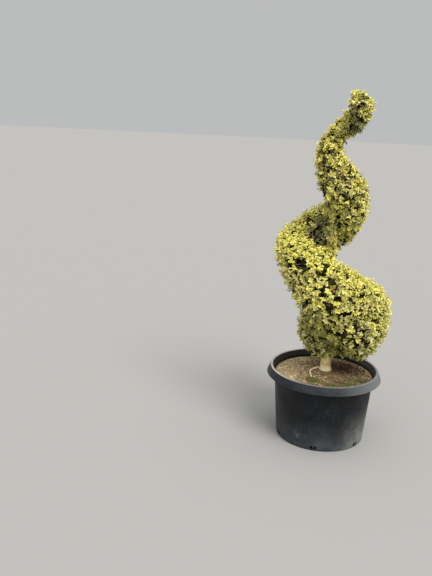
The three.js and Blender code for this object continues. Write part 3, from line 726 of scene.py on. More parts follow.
def axis_x(z):
    """The axis that the band winds round."""
    return shifted_x(z, BAND_BEND_LOW_Z, BAND_BEND_HIGH_Z)


def band_at(turn):
    """The band's middle height, reach, rise and drop at any turn."""
    return np.moveaxis(curve_at(BAND_STATIONS, (turn - FIRST_STATION) / STATION_STEP), -1, 0)


def end_factor(turn):
    """1 along the band, falling to 0 at its two rounded ends."""
    start = (BAND_START + START_ROUNDING - turn) / START_ROUNDING
    end = (turn - (BAND_END - END_ROUNDING)) / END_ROUNDING
    return np.sqrt(1 - np.clip(np.maximum(start, end), 0, 1) ** 2)


def section_sizes(turn, across, up):
    """Middle height and radius of the section, and its half sizes and power toward a side."""
    middle, reach, rise, drop = band_at(turn)
    end = end_factor(turn)
    half = (reach - BAND_INNER_RADIUS) / 2
    tall = np.where(up > 0, rise, drop) * end
    lower_power = np.where(across > 0, LOWER_OUTER_POWER, LOWER_INNER_POWER)
    power = np.where(up > 0, SECTION_POWER, lower_power)
    return middle, BAND_INNER_RADIUS + half, half * end, tall, power


def band_point(turn, around, fill=1.0):
    """A point of the band's surface, or inside it where fill is below 1. around runs once round
    the section, from its outer side over its top."""
    across, up = np.cos(around), np.sin(around)
    middle, middle_radius, wide, tall, power = section_sizes(turn, across, up)
    radius = middle_radius + fill * wide * np.sign(across) * np.abs(across) ** (2 / power)
    z = middle + fill * tall * np.sign(up) * np.abs(up) ** (2 / power)
    angle = -2 * np.pi * turn
    return np.stack([axis_x(z) + radius * np.cos(angle), TRUNK_Y + radius * np.sin(angle), z], -1)


def band_depth(points, turn):
    """Under 1 inside the band's outline at that turn, over 1 outside it."""
    across = np.hypot(points[:, 0] - axis_x(points[:, 2]), points[:, 1] - TRUNK_Y)
    middle, middle_radius, *_ = section_sizes(turn, across, across)
    across = across - middle_radius
    up = points[:, 2] - middle
    _, _, wide, tall, power = section_sizes(turn, across, up)
    across_share = np.abs(across) / np.maximum(wide, 1e-6)
    up_share = np.abs(up) / np.maximum(tall, 1e-6)
    depth = across_share ** power + up_share ** power
    return np.where((turn > BAND_START) & (turn < BAND_END), depth, np.inf)


def all_depths(points):
    """The depth of points in each turn of the band that passes their side of the trunk."""
    first = -np.arctan2(points[:, 1] - TRUNK_Y, points[:, 0] - axis_x(points[:, 2])) / (2 * np.pi)
    turns = [first + k for k in range(-1, 4)]
    return np.array(turns), np.array([band_depth(points, turn) for turn in turns])


def in_crown(points, limit=CROWN_LIMIT):
    return all_depths(points)[1].min(0) <= limit


def inside_other_turn(points, own_turn):
    """True where a point lies well inside a turn of the band other than its own."""
    turns, depths = all_depths(points)
    other = np.abs(turns - own_turn) > STATION_STEP
    return (other & (depths < OTHER_TURN_DEPTH)).any(0)


def turn_of_way(way):
    """Turns spaced so that steps near the two rounded ends follow their rounding."""
    start_way = START_ROUNDING * np.pi / 2
    straight = BAND_END - BAND_START - START_ROUNDING - END_ROUNDING
    first = BAND_START + START_ROUNDING * (1 - np.cos(np.clip(way / START_ROUNDING, 0, np.pi / 2)))
    between = np.clip(way - start_way, 0, straight)
    last_angle = np.clip((way - start_way - straight) / END_ROUNDING, 0, np.pi / 2)
    return first + between + END_ROUNDING * np.sin(last_angle)


def spaced(points, spacing):
    """Indices of points that keep spacing apart: of two that are closer, the first stays."""
    cells = {}
    kept = []
    steps = [(i, j, k) for i in (-1, 0, 1) for j in (-1, 0, 1) for k in (-1, 0, 1)]
    keys = np.floor(points / spacing).astype(int).tolist()
    limit = spacing ** 2
    for index, (point, (a, b, c)) in enumerate(zip(points.tolist(), keys)):
        close = False
        for i, j, k in steps:
            for x, y, z in cells.get((a + i, b + j, c + k), ()):
                if (x - point[0]) ** 2 + (y - point[1]) ** 2 + (z - point[2]) ** 2 < limit:
                    close = True
        if not close:
            cells.setdefault((a, b, c), []).append(point)
            kept.append(index)
    return np.array(kept)


def band_places(random, spacing, fill=1.0, tries=60000):
    """Evenly spread places on the band and the way out of it there."""
    small = 0.004
    way = random.uniform(small, WAY_LENGTH - small, tries)
    around = random.uniform(0, 2 * np.pi, tries)
    turn = turn_of_way(way)
    here = band_point(turn, around, fill)
    on = band_point(turn_of_way(way + small), around, fill) - here
    over = band_point(turn, around + small, fill) - here
    out = np.cross(over, on)
    area = np.linalg.norm(out, axis=1)
    chosen = random.uniform(0, np.quantile(area, 0.97), tries) < area
    chosen &= ~inside_other_turn(here, turn)
    turn, around, here, out = turn[chosen], around[chosen], here[chosen], unit(out[chosen])
    inward = band_point(turn, around, 0.0) - here
    if np.sum(out * inward) > 0:
        out = -out
    kept = spaced(here, spacing)
    return here[kept], out[kept]


# Trunk, boughs and root

def trunk_middle(z):
    up = z - SOIL_TOP_Z
    sway = TRUNK_SWAY * np.minimum(up / TRUNK_SWAY_LENGTH, 1)
    lean = TRUNK_LEAN * (np.maximum(z - TRUNK_LEAN_Z, 0) / (TRUNK_TOP_Z - TRUNK_LEAN_Z)) ** 2
    bent = shifted_x(z, TRUNK_BEND_LOW_Z, TRUNK_BEND_HIGH_Z)
    x = bent + sway * np.sin(up / TRUNK_SWAY_LENGTH) + lean
    y = TRUNK_Y + sway * np.sin(up / TRUNK_SWAY_LENGTH + 2)
    return np.stack([x, y, z], -1)


def trunk_radius(z):
    up = z - SOIL_TOP_Z
    taper = up / (TRUNK_TOP_Z - SOIL_TOP_Z)
    flare = TRUNK_FLARE * np.exp(-up / TRUNK_FLARE_HEIGHT)
    return TRUNK_FOOT_RADIUS + (TRUNK_TIP_RADIUS - TRUNK_FOOT_RADIUS) * taper + flare


def trunk_clear(points, clearance):
    """True where a point lies at least that far outside the trunk."""
    z = np.clip(points[:, 2], TRUNK_FOOT_Z, TRUNK_TOP_Z)
    apart = np.linalg.norm((points - trunk_middle(z))[:, :2], axis=1)
    return apart > trunk_radius(z) + clearance


def bough_turns():
    return BOUGH_FIRST_TURN + BOUGH_STEP * np.arange(len(BOUGH_NODES))


def bough_curve(turn):
    """Start, bend and end of a bough, and the radius of its root."""
    middle, reach, _, drop = band_at(turn)
    angle = -2 * np.pi * turn
    start_z = middle - drop * BOUGH_START_LOW
    foot = trunk_middle(start_z)
    radius = trunk_radius(start_z)
    run = BAND_INNER_RADIUS + BOUGH_RUN * (reach - BAND_INNER_RADIUS)

    def point(apart, z):
        return np.array([foot[0] + apart * math.cos(angle), foot[1] + apart * math.sin(angle), z])

    start = point(radius * BOUGH_ROOT_DEPTH, start_z)
    bend = point(run * BOUGH_BEND, start_z + drop * BOUGH_BEND_UP)
    end = point(run, middle + drop * BOUGH_END_HIGH)
    return start, bend, end, BOUGH_LEAST_RADIUS + radius * BOUGH_TRUNK_SHARE


def bark_relief(points, depth):
    """Long low ridges and a few lumps, as heights on a limb's surface."""
    ridges = noise_at(points * np.array([1, 1, 0.16]), 0.0045, 1.0)
    lumps = noise_at(points, 0.018, 2.0)
    return depth * (0.7 * ridges + lumps)


def limb(path, radius, sides, relief):
    """Points and faces of one tapering limb with bark relief and closed ends."""
    points, faces = tubes(path[None], radius[None], sides)
    out = unit(points[0] - np.repeat(path, sides, axis=0))
    return points[0] + out * bark_relief(points[0], relief)[:, None], faces


def build_trunk():
    z = TRUNK_FOOT_Z + (TRUNK_TOP_Z - TRUNK_FOOT_Z) * np.linspace(0, 1, TRUNK_STEPS + 1) ** 1.25
    path = trunk_middle(z)
    points, faces = tubes(path[None], trunk_radius(z)[None], TRUNK_SIDES)
    points = points[0]
    out = unit((points - np.repeat(path, TRUNK_SIDES, axis=0)) * FLAT)
    relief = bark_relief(points, TRUNK_RELIEF)
    for turn in bough_turns():
        distance = np.linalg.norm(points - bough_curve(turn)[0], axis=1)
        relief += COLLAR_DEPTH * np.exp(-(distance / COLLAR_SIZE) ** 2)
    relief *= faded(points[:, 2], TRUNK_FOOT_Z, TRUNK_FOOT_FADE)
    points += out * relief[:, None]
    add_piece("trunk_bark", points, faces, trunk_finish(), ["trunk"])


def build_stub():
    """A bare forked shoot, pale and grey, where the trunk shows between the turns."""
    foot, fork, *ends = np.array([STUB_FOOT, STUB_FORK, *STUB_ENDS])
    thick, middle, thin = STUB_RADII
    paths = np.linspace([foot, fork, fork], [fork, *ends], STUB_STEPS, axis=1)
    radii = np.linspace([thick, middle, middle], [middle, thin, thin], STUB_STEPS, axis=1)
    points, faces = tubes(paths, radii, STUB_SIDES)
    finish = bark_finish("stub_bark", (168, 150, 114), (118, 102, 76))
    add_piece("trunk_stub", points, faces, finish, ["trunk"])


def build_boughs():
    finish = bark_finish("bough_bark", (164, 142, 108), (112, 92, 66))
    for node, turn in zip(BOUGH_NODES, bough_turns()):
        *curve, root_radius = bough_curve(turn)
        path = bent_paths(*curve, BOUGH_STEPS)
        radius = root_radius * (1 - BOUGH_TAPER * np.linspace(0, 1, BOUGH_STEPS))
        points, faces = limb(path, radius, BOUGH_SIDES, BOUGH_RELIEF)
        add_piece(node.replace("bough", "bough_bark"), points, faces, finish, [node])


def soil_height(x, y):
    """The potting mix's height without its crumbs."""
    radii = [SOIL_TOP_RADIUS, SOIL_SLOPE_RADIUS, SOIL_EDGE_RADIUS]
    return np.interp(np.hypot(x, y), radii, [SOIL_TOP_Z, SOIL_SLOPE_Z, SOIL_EDGE_Z])


def root_path(steps):
    """The root's middle line as it is seen from above."""
    return curve_at(ROOT_PATH, np.linspace(0, len(ROOT_PATH) - 1, steps))


def build_root():
    flat = root_path(ROOT_STEPS)
    radius = np.linspace(ROOT_RADIUS, ROOT_END_RADIUS, len(flat))
    path = np.column_stack([flat, soil_height(*flat.T) + radius + ROOT_REST])
    points, faces = limb(path, radius, ROOT_SIDES, ROOT_RELIEF)
    finish = bark_finish("root_bark", (252, 238, 202), (232, 212, 170))
    add_piece("surface_root_bark", points, faces, finish, ["surface_root"])


# Twigs

def nearest(points, parents):
    """The index of the nearest parent of each point."""
    tree = KDTree(len(parents))
    for index, parent in enumerate(parents.tolist()):
        tree.insert(parent, index)
    tree.balance()
    return np.array([tree.find(point)[1] for point in points.tolist()])


def limb_points():
    """Places along the trunk and boughs that twigs may grow from, with the way each limb runs."""
    z = np.arange(BAND_STATIONS[0, 0] - LIMB_FOOT_DROP, TRUNK_TOP_Z, LIMB_STEP)
    points = [trunk_middle(z)]
    ways = [np.tile(UP, (len(z), 1))]
    for turn in bough_turns():
        path = bent_paths(*bough_curve(turn)[:3], BOUGH_TWIG_STEPS)
        points.append(path[BOUGH_BARE_STEPS:])
        ways.append(unit(np.gradient(path, axis=0))[BOUGH_BARE_STEPS:])
    return np.concatenate(points), np.concatenate(ways)


def grow(points, parents, parent_ways, rise):
    """Curves from the nearest parents to new points, and the way each ends. rise prefers parents
    that lie lower."""
    found = nearest(points - UP * rise, parents)
    start = parents[found]
    reach = np.linalg.norm(points - start, axis=1, keepdims=True)
    bend = start + parent_ways[found] * reach * TWIG_START_BEND + (points - start) * TWIG_END_BEND
    return (start, bend, points), unit(points - bend)


def add_twigs(name, curves, shape, finish):
    rings, sides, *radii = shape
    paths = bent_paths(*curves, rings)
    points, faces = tubes(paths, np.broadcast_to(np.linspace(*radii, rings), paths.shape[:2]), sides)
    add_piece(name, points, faces, finish, FOLIAGE_NODES)


def build_twigs(sprays):
    """Branches from the limbs, branchlets from those, and a stem from them to each spray."""
    random = seeded("twigs")
    brown = twig_finish("twig_brown", (132, 114, 88))
    green = twig_finish("shoot_green", (132, 140, 66))
    limbs, limb_ways = limb_points()
    ends, _ = band_places(random, *BRANCH_PLACES)
    curves, ways = grow(ends, limbs, limb_ways, BRANCH_RISE)
    add_twigs("twigs_branches", curves, BRANCH_SHAPE, brown)
    small_ends, _ = band_places(random, *BRANCHLET_PLACES)
    curves, small_ways = grow(small_ends, ends, ways, BRANCHLET_RISE)
    add_twigs("twigs_branchlets", curves, BRANCHLET_SHAPE, brown)
    parents = np.concatenate([small_ends, limbs])
    parent_ways = np.concatenate([small_ways, limb_ways])
    curves, _ = grow(sprays["base"], parents, parent_ways, STEM_RISE)
    add_twigs("twigs_stems", curves, STEM_SHAPE, brown)
    shoots = [along_shoot(sprays, share) for share in (0, 0.5, 1)]
    add_twigs("twigs_shoots", shoots, SHOOT_SHAPE, green)


# Leaves

# Outline of a leaf: share of its length from the root, share of its half width to the left
LEAF_OUTLINE = np.array([
    (0.0, 0.0), (0.24, 0.80), (0.70, 0.92), (1.0, 0.0), (0.70, -0.92), (0.24, -0.80),
    (0.12, 0.0), (0.46, 0.50), (0.84, 0.0), (0.46, -0.50),
])
MARGIN_FACES = [
    (0, 6, 1), (6, 7, 1), (1, 7, 2), (7, 8, 2), (2, 8, 3),
    (0, 5, 6), (5, 9, 6), (5, 4, 9), (4, 8, 9), (4, 3, 8),
]
HEART_POINTS = [6, 7, 8, 9]
HEART_FACES = [(0, 2, 1), (0, 3, 2)]
PLAIN_POINTS = [0, 1, 2, 3, 4, 5]
PLAIN_FACES = [(0, 2, 1), (0, 3, 2), (0, 4, 3), (0, 5, 4)]


def along_shoot(sprays, share):
    return sprays["base"] + sprays["way"] * (sprays["length"] * share)[:, None]


def leaf_points(leaves, outline):
    """The points of every leaf: folded up a little along its midrib and curled down to its tip."""
    along = leaves["along"][:, None]
    across = np.cross(leaves["normal"], leaves["along"])[:, None]
    normal = leaves["normal"][:, None]
    length, width, fold, curl = (leaves[key][:, None, None] for key in ("length", "width", "fold", "curl"))
    u, v = outline[None, :, :1], outline[None, :, 1:] / 2
    lift = fold * np.abs(v) * width - curl * u ** 2 * length
    return leaves["root"][:, None] + along * u * length + across * v * width + normal * lift


def take(rows, chosen):
    """The chosen sprays or leaves."""
    return {key: values[chosen] for key, values in rows.items()}


def facing(direction, along, sky):
    """The upper side of a leaf: toward the shoot's tip and the sky, square to its length."""
    normal = direction + UP * sky
    return unit(normal - along * np.sum(normal * along, 1)[:, None])


def make_leaves(root, along, normal, size, random, tint):
    count = len(root)
    return {
        "root": root,
        "along": along,
        "normal": normal,
        "length": LEAF_LENGTH * size * random.uniform(*LEAF_SIZES, count),
        "width": LEAF_WIDTH * size * random.uniform(*LEAF_SIZES, count),
        "fold": random.uniform(*LEAF_FOLDS, count),
        "curl": random.uniform(*LEAF_CURLS, count),
        "tint": tint,
    }


def spray_leaves(sprays, pairs, random):
    """Crossed pairs of leaves along every shoot."""
    count = len(sprays["base"])
    way = sprays["way"]
    side = unit(np.cross(way, random.normal(size=(count, 3))))
    other = np.cross(way, side)
    parts = []
    for level, (share, angle, size) in enumerate(pairs):
        turned = side if level % 2 else other
        for sign in (1, -1):
            spread = np.radians(angle + random.normal(0, LEAF_ANGLE_JITTER, count))[:, None]
            aside = unit(turned * sign + LEAF_SIDE_JITTER * random.normal(size=(count, 3)))
            along = unit(way * np.cos(spread) + aside * np.sin(spread))
            direction = way + LEAF_FACE_JITTER * random.normal(size=(count, 3))
            normal = facing(direction, along, LEAF_SKY)
            root = along_shoot(sprays, share)
            parts.append(make_leaves(root, along, normal, sprays["size"] * size, random, sprays["tint"]))
    return {key: np.concatenate([part[key] for part in parts]) for key in parts[0]}


def hollow_lines():
    """The outer and inner end of each hollow's middle line, and its radius."""
    turn, around, radius = np.array(HOLLOWS).T
    surface = band_point(turn, np.radians(around))
    inward = unit(band_point(turn, np.radians(around), 0.0) - surface)
    stub = np.array([STUB_FOOT, STUB_FORK, STUB_ENDS[0]])
    outer = np.concatenate([surface - inward * HOLLOW_MARGIN, stub - [0, STUB_OPEN, 0]])
    inner = np.concatenate([surface + inward * HOLLOW_DEPTH, stub])
    return outer, inner, np.concatenate([radius, np.full(len(stub), STUB_OPEN_RADIUS)])


def out_of_hollows(points):
    """True where a point lies clear of every hollow."""
    outer, inner, radius = hollow_lines()
    line = inner - outer
    share = np.einsum("ijk,jk->ij", points[:, None] - outer[None], line) / np.sum(line ** 2, 1)
    nearest_points = outer + np.clip(share, 0, 1)[..., None] * line
    return (np.linalg.norm(points[:, None] - nearest_points, axis=2) > radius).all(1)


def dimness(points):
    """1 in the middle of a dim place, falling to 0 at its edge."""
    dim = np.zeros(len(points))
    for middle, radius in DIM_PLACES:
        distance = np.linalg.norm(points - np.array(middle), axis=1)
        dim = np.maximum(dim, 1 - smoothstep(distance, 0.6 * radius, radius))
    return dim


def lowness(points):
    """1 in the foliage nearest to the pot, falling to 0 above the lowest turn's foot."""
    return 1 - smoothstep(points[:, 2], LOW_FULL_Z, LOW_TOP_Z)


def underside(out):
    """1 where the surface faces down, falling to 0 where it is upright."""
    return smoothstep(-out[:, 2], -0.1, 0.5)


def share_of(shares, mixed):
    return shares[0] + shares[1] * mixed


def deal_tints(points, out, cleft, random):
    """A tint for each spray: lemon and gold where it faces the sky, cream and lime below and
    down in the clefts, shady in the dim places, and low down more of the brightest and greenest, as
    painted light and shade in foliage that lies in shade."""
    count = len(points)
    sky = out[:, 2] + LIGHT_JITTER * noise_at(points, 0.07, 4.0) + LIGHT_JITTER * random.normal(size=count)
    dim = dimness(points)
    top = TOP_LIGHT * smoothstep(points[:, 2], *TOP_LIGHT_Z) * (1 - dim)
    light = sky - CLEFT_SHADE * cleft - DIM_SHADE * dim + top
    steps = [light > least for least in TINT_LIGHTS.values()]
    names = np.select(steps, list(TINT_LIGHTS), "shady")
    dice = random.uniform(size=count)
    low = lowness(points)
    mixed = np.maximum(low, underside(out))
    # Painted light: low down, in shade, the brightest tint is the paler ivory.
    brightest = np.where(2 * dice < low, "ivory", "lemon")
    bright = (dice < share_of(BRIGHT_SHARES, mixed)) & (cleft < 0.5) & (dim < 0.3)
    green = (dice > 1 - share_of(GREEN_SHARES, mixed)) & (sky < 0.5) & (dim < 0.3)
    names = np.where(bright, brightest, names)
    names = np.where(green, "lime", names)
    bronze = np.full(count, BRONZE_SHARE)
    for middle, radius, share in BRONZE_PLACES:
        near = np.linalg.norm(points - np.array(middle), axis=1) < radius
        bronze = np.where(near, share, bronze)
    return np.where(random.uniform(size=count) < bronze, "bronze", names)


def in_sleeves(points):
    """True in the space of the short growth that clothes the trunk."""
    inside = np.zeros(len(points), bool)
    for low, high, _ in SLEEVES:
        z = np.clip(points[:, 2], low, high)
        apart = np.linalg.norm(points - trunk_middle(z), axis=1)
        inside |= apart < trunk_radius(z) + SLEEVE_LIMIT
    return inside


def sleeve_places(random, spacing, tries=6000):
    """Evenly spread places on the short growth round the trunk and the way out of it there."""
    points, ways = [], []
    for low, high, least_depth in SLEEVES:
        z = random.uniform(low, high, tries)
        angle = random.uniform(0, 2 * np.pi, tries)
        out = np.stack([np.cos(angle), np.sin(angle), np.zeros(tries)], -1)
        surface = trunk_middle(z) + out * (trunk_radius(z) + SLEEVE_REACH)[:, None]
        free = ~in_crown(surface, least_depth)
        kept = spaced(surface[free], spacing)
        points.append(surface[free][kept])
        ways.append(out[free][kept])
    return np.concatenate(points), np.concatenate(ways)


def tuft_places(surface, out):
    """How far each place lies toward the cleft round its tuft, and the way from its middle."""
    middles = surface[spaced(surface, TUFT_SPACING)]
    away = surface - middles[nearest(surface, middles)]
    away -= out * np.sum(away * out, 1)[:, None]
    away /= TUFT_RADIUS
    return np.clip(np.linalg.norm(away, axis=1), 0, 1) ** 2, away


def make_sprays():
    """The shoots that carry the outer leaves, as many as the clipped surface holds."""
    random = seeded("sprays")
    places = [band_places(random, SPRAY_SPACING), sleeve_places(random, SPRAY_SPACING)]
    surface, out = (np.concatenate(parts) for parts in zip(*places))
    cleft, away = tuft_places(surface, out)
    gaps = noise_at(surface, GAP_SIZE, 3.0) + random.normal(0, GAP_JITTER, len(surface))
    level = GAP_LEVEL + (UNDERSIDE_GAP_LEVEL - GAP_LEVEL) * underside(out)
    level += DIM_GAPS * dimness(surface) + LOW_GAPS * lowness(surface)
    keep = out_of_hollows(surface) & (gaps > level) & trunk_clear(surface, SHOOT_CLEARANCE)
    surface, out, cleft, away = surface[keep], out[keep], cleft[keep], away[keep]
    count = len(surface)
    inset = SPRAY_TIP_INSET + TUFT_DEPTH * cleft + random.uniform(-1, 1, count) * TUFT_JITTER
    tip = surface - out * inset[:, None]
    spread = SPRAY_SPREAD * random.normal(size=(count, 3))
    way = unit(out + TUFT_SPREAD * away + spread + UP * SPRAY_LIFT)
    length = SPRAY_LENGTH * random.uniform(*SPRAY_SIZES, count)
    return {
        "base": tip - way * length[:, None],
        "way": way,
        "length": length,
        "size": random.uniform(*SPRAY_SIZES, count),
        "tint": deal_tints(surface, out, cleft, random),
    }


def leaf_part(leaves, share):
    """The point of every leaf that lies at a share of its length."""
    return leaves["root"] + leaves["along"] * leaves["length"][:, None] * share


def fitting(leaves):
    """The leaves that lie within the plant's reach, clear of the trunk and the hollows."""
    outer_part = leaf_part(leaves, LEAF_KEPT_SHARE)
    fits = in_crown(outer_part) | in_sleeves(outer_part)
    fits &= trunk_clear(leaf_part(leaves, 1), LEAF_CLEARANCE)
    for share in (0, 0.5, 1):
        fits &= out_of_hollows(leaf_part(leaves, share))
    return take(leaves, fits)


def covered(leaves, cover):
    """The leaves that have at least that much of the crown round them, clear of the trunk."""
    steps = [sign * axis for axis in np.eye(3) for sign in (-cover, cover)]
    fits = trunk_clear(leaf_part(leaves, 1), LEAF_CLEARANCE)
    for end in (0, 1):
        points = leaf_part(leaves, end)
        fits &= np.all([in_crown(points + step, 1.0) for step in steps], axis=0)
    return take(leaves, fits)


def add_leaves(name, points, faces, finish):
    add_piece(name, points, [copies(faces, points)], finish, FOLIAGE_NODES)


def add_plain_leaves(name, leaves, color):
    """Leaves of one colour, in the fewest faces."""
    points = leaf_points(leaves, LEAF_OUTLINE[PLAIN_POINTS])
    add_leaves(name, points, PLAIN_FACES, leaf_finish(name, color, 0.7, 0.12))


def build_leaves(sprays):
    """The younger leaves of every shoot, green with wide yellow margins."""
    leaves = fitting(spray_leaves(sprays, SPRAY_PAIRS, seeded("leaves")))
    for tint, (margin, heart) in LEAF_TINTS.items():
        points = leaf_points(take(leaves, leaves["tint"] == tint), LEAF_OUTLINE)
        finish = leaf_finish(f"leaf_margin_{tint}", margin)
        add_leaves(f"leaf_margins_{tint}", points, MARGIN_FACES, finish)
        finish = leaf_finish(f"leaf_heart_{tint}", heart)
        add_leaves(f"leaf_hearts_{tint}", points[:, HEART_POINTS], HEART_FACES, finish)


def build_old_leaves(sprays):
    """Green older leaves near the root of every shoot."""
    random = seeded("old leaves")
    leaves = fitting(spray_leaves(sprays, OLD_PAIRS, random))
    # Painted shade: more of them are dark low down and on lime and shady sprays.
    dark_share = 0.5 + 0.4 * lowness(leaves["root"])
    dark = random.uniform(size=len(dark_share)) < dark_share
    dark |= np.isin(leaves["tint"], ["lime", "shady"])
    add_plain_leaves("old_leaves_olive", take(leaves, ~dark), OLD_OLIVE)
    add_plain_leaves("old_leaves_dark", take(leaves, dark), OLD_DARK)


def build_shade_leaves():
    """Larger, darker leaves inside the band, where little light reaches."""
    random = seeded("shade leaves")
    surface, out = band_places(random, SHADE_SPACING)
    inner, inner_out = band_places(random, INNER_SPACING, INNER_FILL)
    inset = random.uniform(*SHADE_INSETS, len(surface))
    root = np.concatenate([surface - out * inset[:, None], inner])
    out = np.concatenate([out, inner_out])
    count = len(root)
    along = unit(out * SHADE_OUTWARD + random.normal(size=(count, 3)))
    normal = facing(out, along, SHADE_SKY)
    order = random.integers(0, len(SHADE_GREENS), count)
    size = SHADE_LENGTH / LEAF_LENGTH
    leaves = covered(make_leaves(root, along, normal, size, random, order), SHADE_COVER)
    for index, (name, color) in enumerate(SHADE_GREENS.items()):
        add_plain_leaves(f"shade_leaves_{name}", take(leaves, leaves["tint"] == index), color)


# Pot

def pot_profile():
    slope = (RIM_BAND_RADIUS - RIM_LIP_RADIUS) / (POT_HEIGHT - RIM_BAND_LOW_Z)
    band_inner = RIM_BAND_RADIUS - RIM_BAND_THICKNESS
    groove_top = band_inner - slope * (RIM_GROOVE_TOP_Z - RIM_BAND_LOW_Z)
    lip_side_z = POT_HEIGHT - 2 * RIM_LIP_ROUNDING
    return [
        (POT_BASE_RADIUS - POT_BASE_ROUNDING, 0),
        (POT_BASE_RADIUS, POT_BASE_ROUNDING / 2),
        (POT_BASE_RADIUS + POT_WALL_SLOPE * POT_BASE_EDGE_Z, POT_BASE_EDGE_Z),
        (POT_SHOULDER_RADIUS, POT_SHOULDER_Z),
        (RIM_STEP_RADIUS + POT_WALL, RIM_GROOVE_TOP_Z),
        (groove_top, RIM_GROOVE_TOP_Z),
        (band_inner, RIM_BAND_LOW_Z),
        (RIM_BAND_RADIUS, RIM_BAND_LOW_Z),
        (RIM_LIP_RADIUS + RIM_LIP_ROUNDING, lip_side_z),
        (RIM_LIP_RADIUS - RIM_LIP_ROUNDING, POT_HEIGHT),
        (RIM_MOUTH_RADIUS + RIM_LIP_ROUNDING, POT_HEIGHT),
        (RIM_MOUTH_RADIUS, lip_side_z),
        (RIM_STEP_RADIUS, RIM_STEP_Z + RIM_STEP_RISE),
        (POT_SHOULDER_RADIUS - POT_WALL, RIM_STEP_Z - RIM_STEP_DROP),
        (POT_BASE_RADIUS + POT_WALL_SLOPE * POT_FLOOR - POT_WALL, POT_FLOOR),
    ]


def rounded(profile, radius, steps=4):
    """The profile with each corner but its first and last made round."""
    points = np.array(profile)
    result = [points[:1]]
    for before, corner, after in zip(points, points[1:], points[2:]):
        reach_in = min(radius, np.linalg.norm(corner - before) * 0.45)
        reach_out = min(radius, np.linalg.norm(after - corner) * 0.45)
        start = corner + unit(before - corner) * reach_in
        end = corner + unit(after - corner) * reach_out
        result.append(bent_paths(start, corner, end, steps))
    return np.concatenate([*result, points[-1:]])


def lathe(profile, segments):
    """Points and faces of a closed turned body. The two middles that close it come last."""
    angle = 2 * np.pi * np.arange(segments) / segments
    rings = len(profile)
    radius, z = profile[:, :1], np.repeat(profile[:, 1:], segments, axis=1)
    points = np.stack([radius * np.cos(angle), radius * np.sin(angle), z], -1)
    middles = [(0, 0, profile[0, 1]), (0, 0, profile[-1, 1])]
    quads, _ = tube_faces(rings, segments)
    side = np.arange(segments)
    after = (side + 1) % segments
    low_middle = np.full(segments, rings * segments)
    last = (rings - 1) * segments
    low = np.column_stack([low_middle, after, side])
    high = np.column_stack([low_middle + 1, last + side, last + after])
    return np.vstack([points.reshape(-1, 3), middles]), [quads, np.vstack([low, high])]


def drain_angles():
    """The angle of the middle of each pair of drain slots."""
    return [math.radians(DRAIN_FIRST_ANGLE + 360 / DRAIN_GROUPS * group) for group in range(DRAIN_GROUPS)]


def slot_cutter():
    """The drain slots as one body of rounded blocks that reach through the wall."""
    quarter, step = np.divmod(np.arange(4 * DRAIN_CORNER_STEPS), DRAIN_CORNER_STEPS)
    angle = np.pi / 2 * (quarter + step / (DRAIN_CORNER_STEPS - 1))
    corner_y, corner_z = np.array([(1, 1), (-1, 1), (-1, -1), (1, -1)])[quarter].T
    y = corner_y * (DRAIN_WIDTH / 2 - DRAIN_CORNER_RADIUS) + DRAIN_CORNER_RADIUS * np.cos(angle)
    z = corner_z * (DRAIN_HEIGHT / 2 - DRAIN_CORNER_RADIUS) + DRAIN_CORNER_RADIUS * np.sin(angle)
    blocks = []
    for turn in drain_angles():
        rotation = np.array(Matrix.Rotation(turn, 3, "Z"))
        for aside in (-DRAIN_PAIR_SPACING / 2, DRAIN_PAIR_SPACING / 2):
            block = np.zeros((2, len(angle), 3))
            block[0, :, 0] = POT_BASE_RADIUS - DRAIN_REACH
            block[1, :, 0] = POT_BASE_RADIUS + DRAIN_REACH
            block[:, :, 1] = y + aside
            block[:, :, 2] = z + DRAIN_LOW_Z + DRAIN_HEIGHT / 2
            blocks.append(block.reshape(-1, 3) @ rotation.T)
    blocks = np.array(blocks)
    faces = [copies(group, blocks) for group in tube_faces(2, len(angle))]
    return mesh_object("slot_cutter", blocks, faces)


def build_pot():
    pot = mesh_object("pot_shell", *lathe(rounded(pot_profile(), POT_CORNER_ROUNDING), POT_SEGMENTS))
    cutter = slot_cutter()
    cut = pot.modifiers.new("drain_slots", "BOOLEAN")
    cut.operation = "DIFFERENCE"
    cut.solver = "EXACT"
    cut.object = cutter
    finished = bpy.data.meshes.new_from_object(pot.evaluated_get(bpy.context.evaluated_depsgraph_get()))
    pot.modifiers.clear()
    pot.data = finished
    bpy.data.objects.remove(cutter)
    hand_over(pot, pot_wall_finish(), ["pot"])
    pot.data.materials.append(pot_rim_finish().material)
    for face in pot.data.polygons:
        x, y, z = face.center
        on_rim = z > RIM_BAND_LOW_Z - 0.001 and math.hypot(x, y) > RIM_STEP_RADIUS - 0.004
        face.material_index = int(on_rim)
    pot.data.set_sharp_from_angle(angle=math.radians(POT_SHARP_ANGLE))


# Potting mix and what lies on it

def from_trunk(x, y):
    return np.hypot(x - TRUNK_X, y - TRUNK_Y)


def from_root(x, y):
    """The distance of places on the potting mix from the root's middle line."""
    places = np.column_stack([x, y])
    return np.linalg.norm(places[:, None] - root_path(ROOT_NEAR_STEPS), axis=2).min(1)


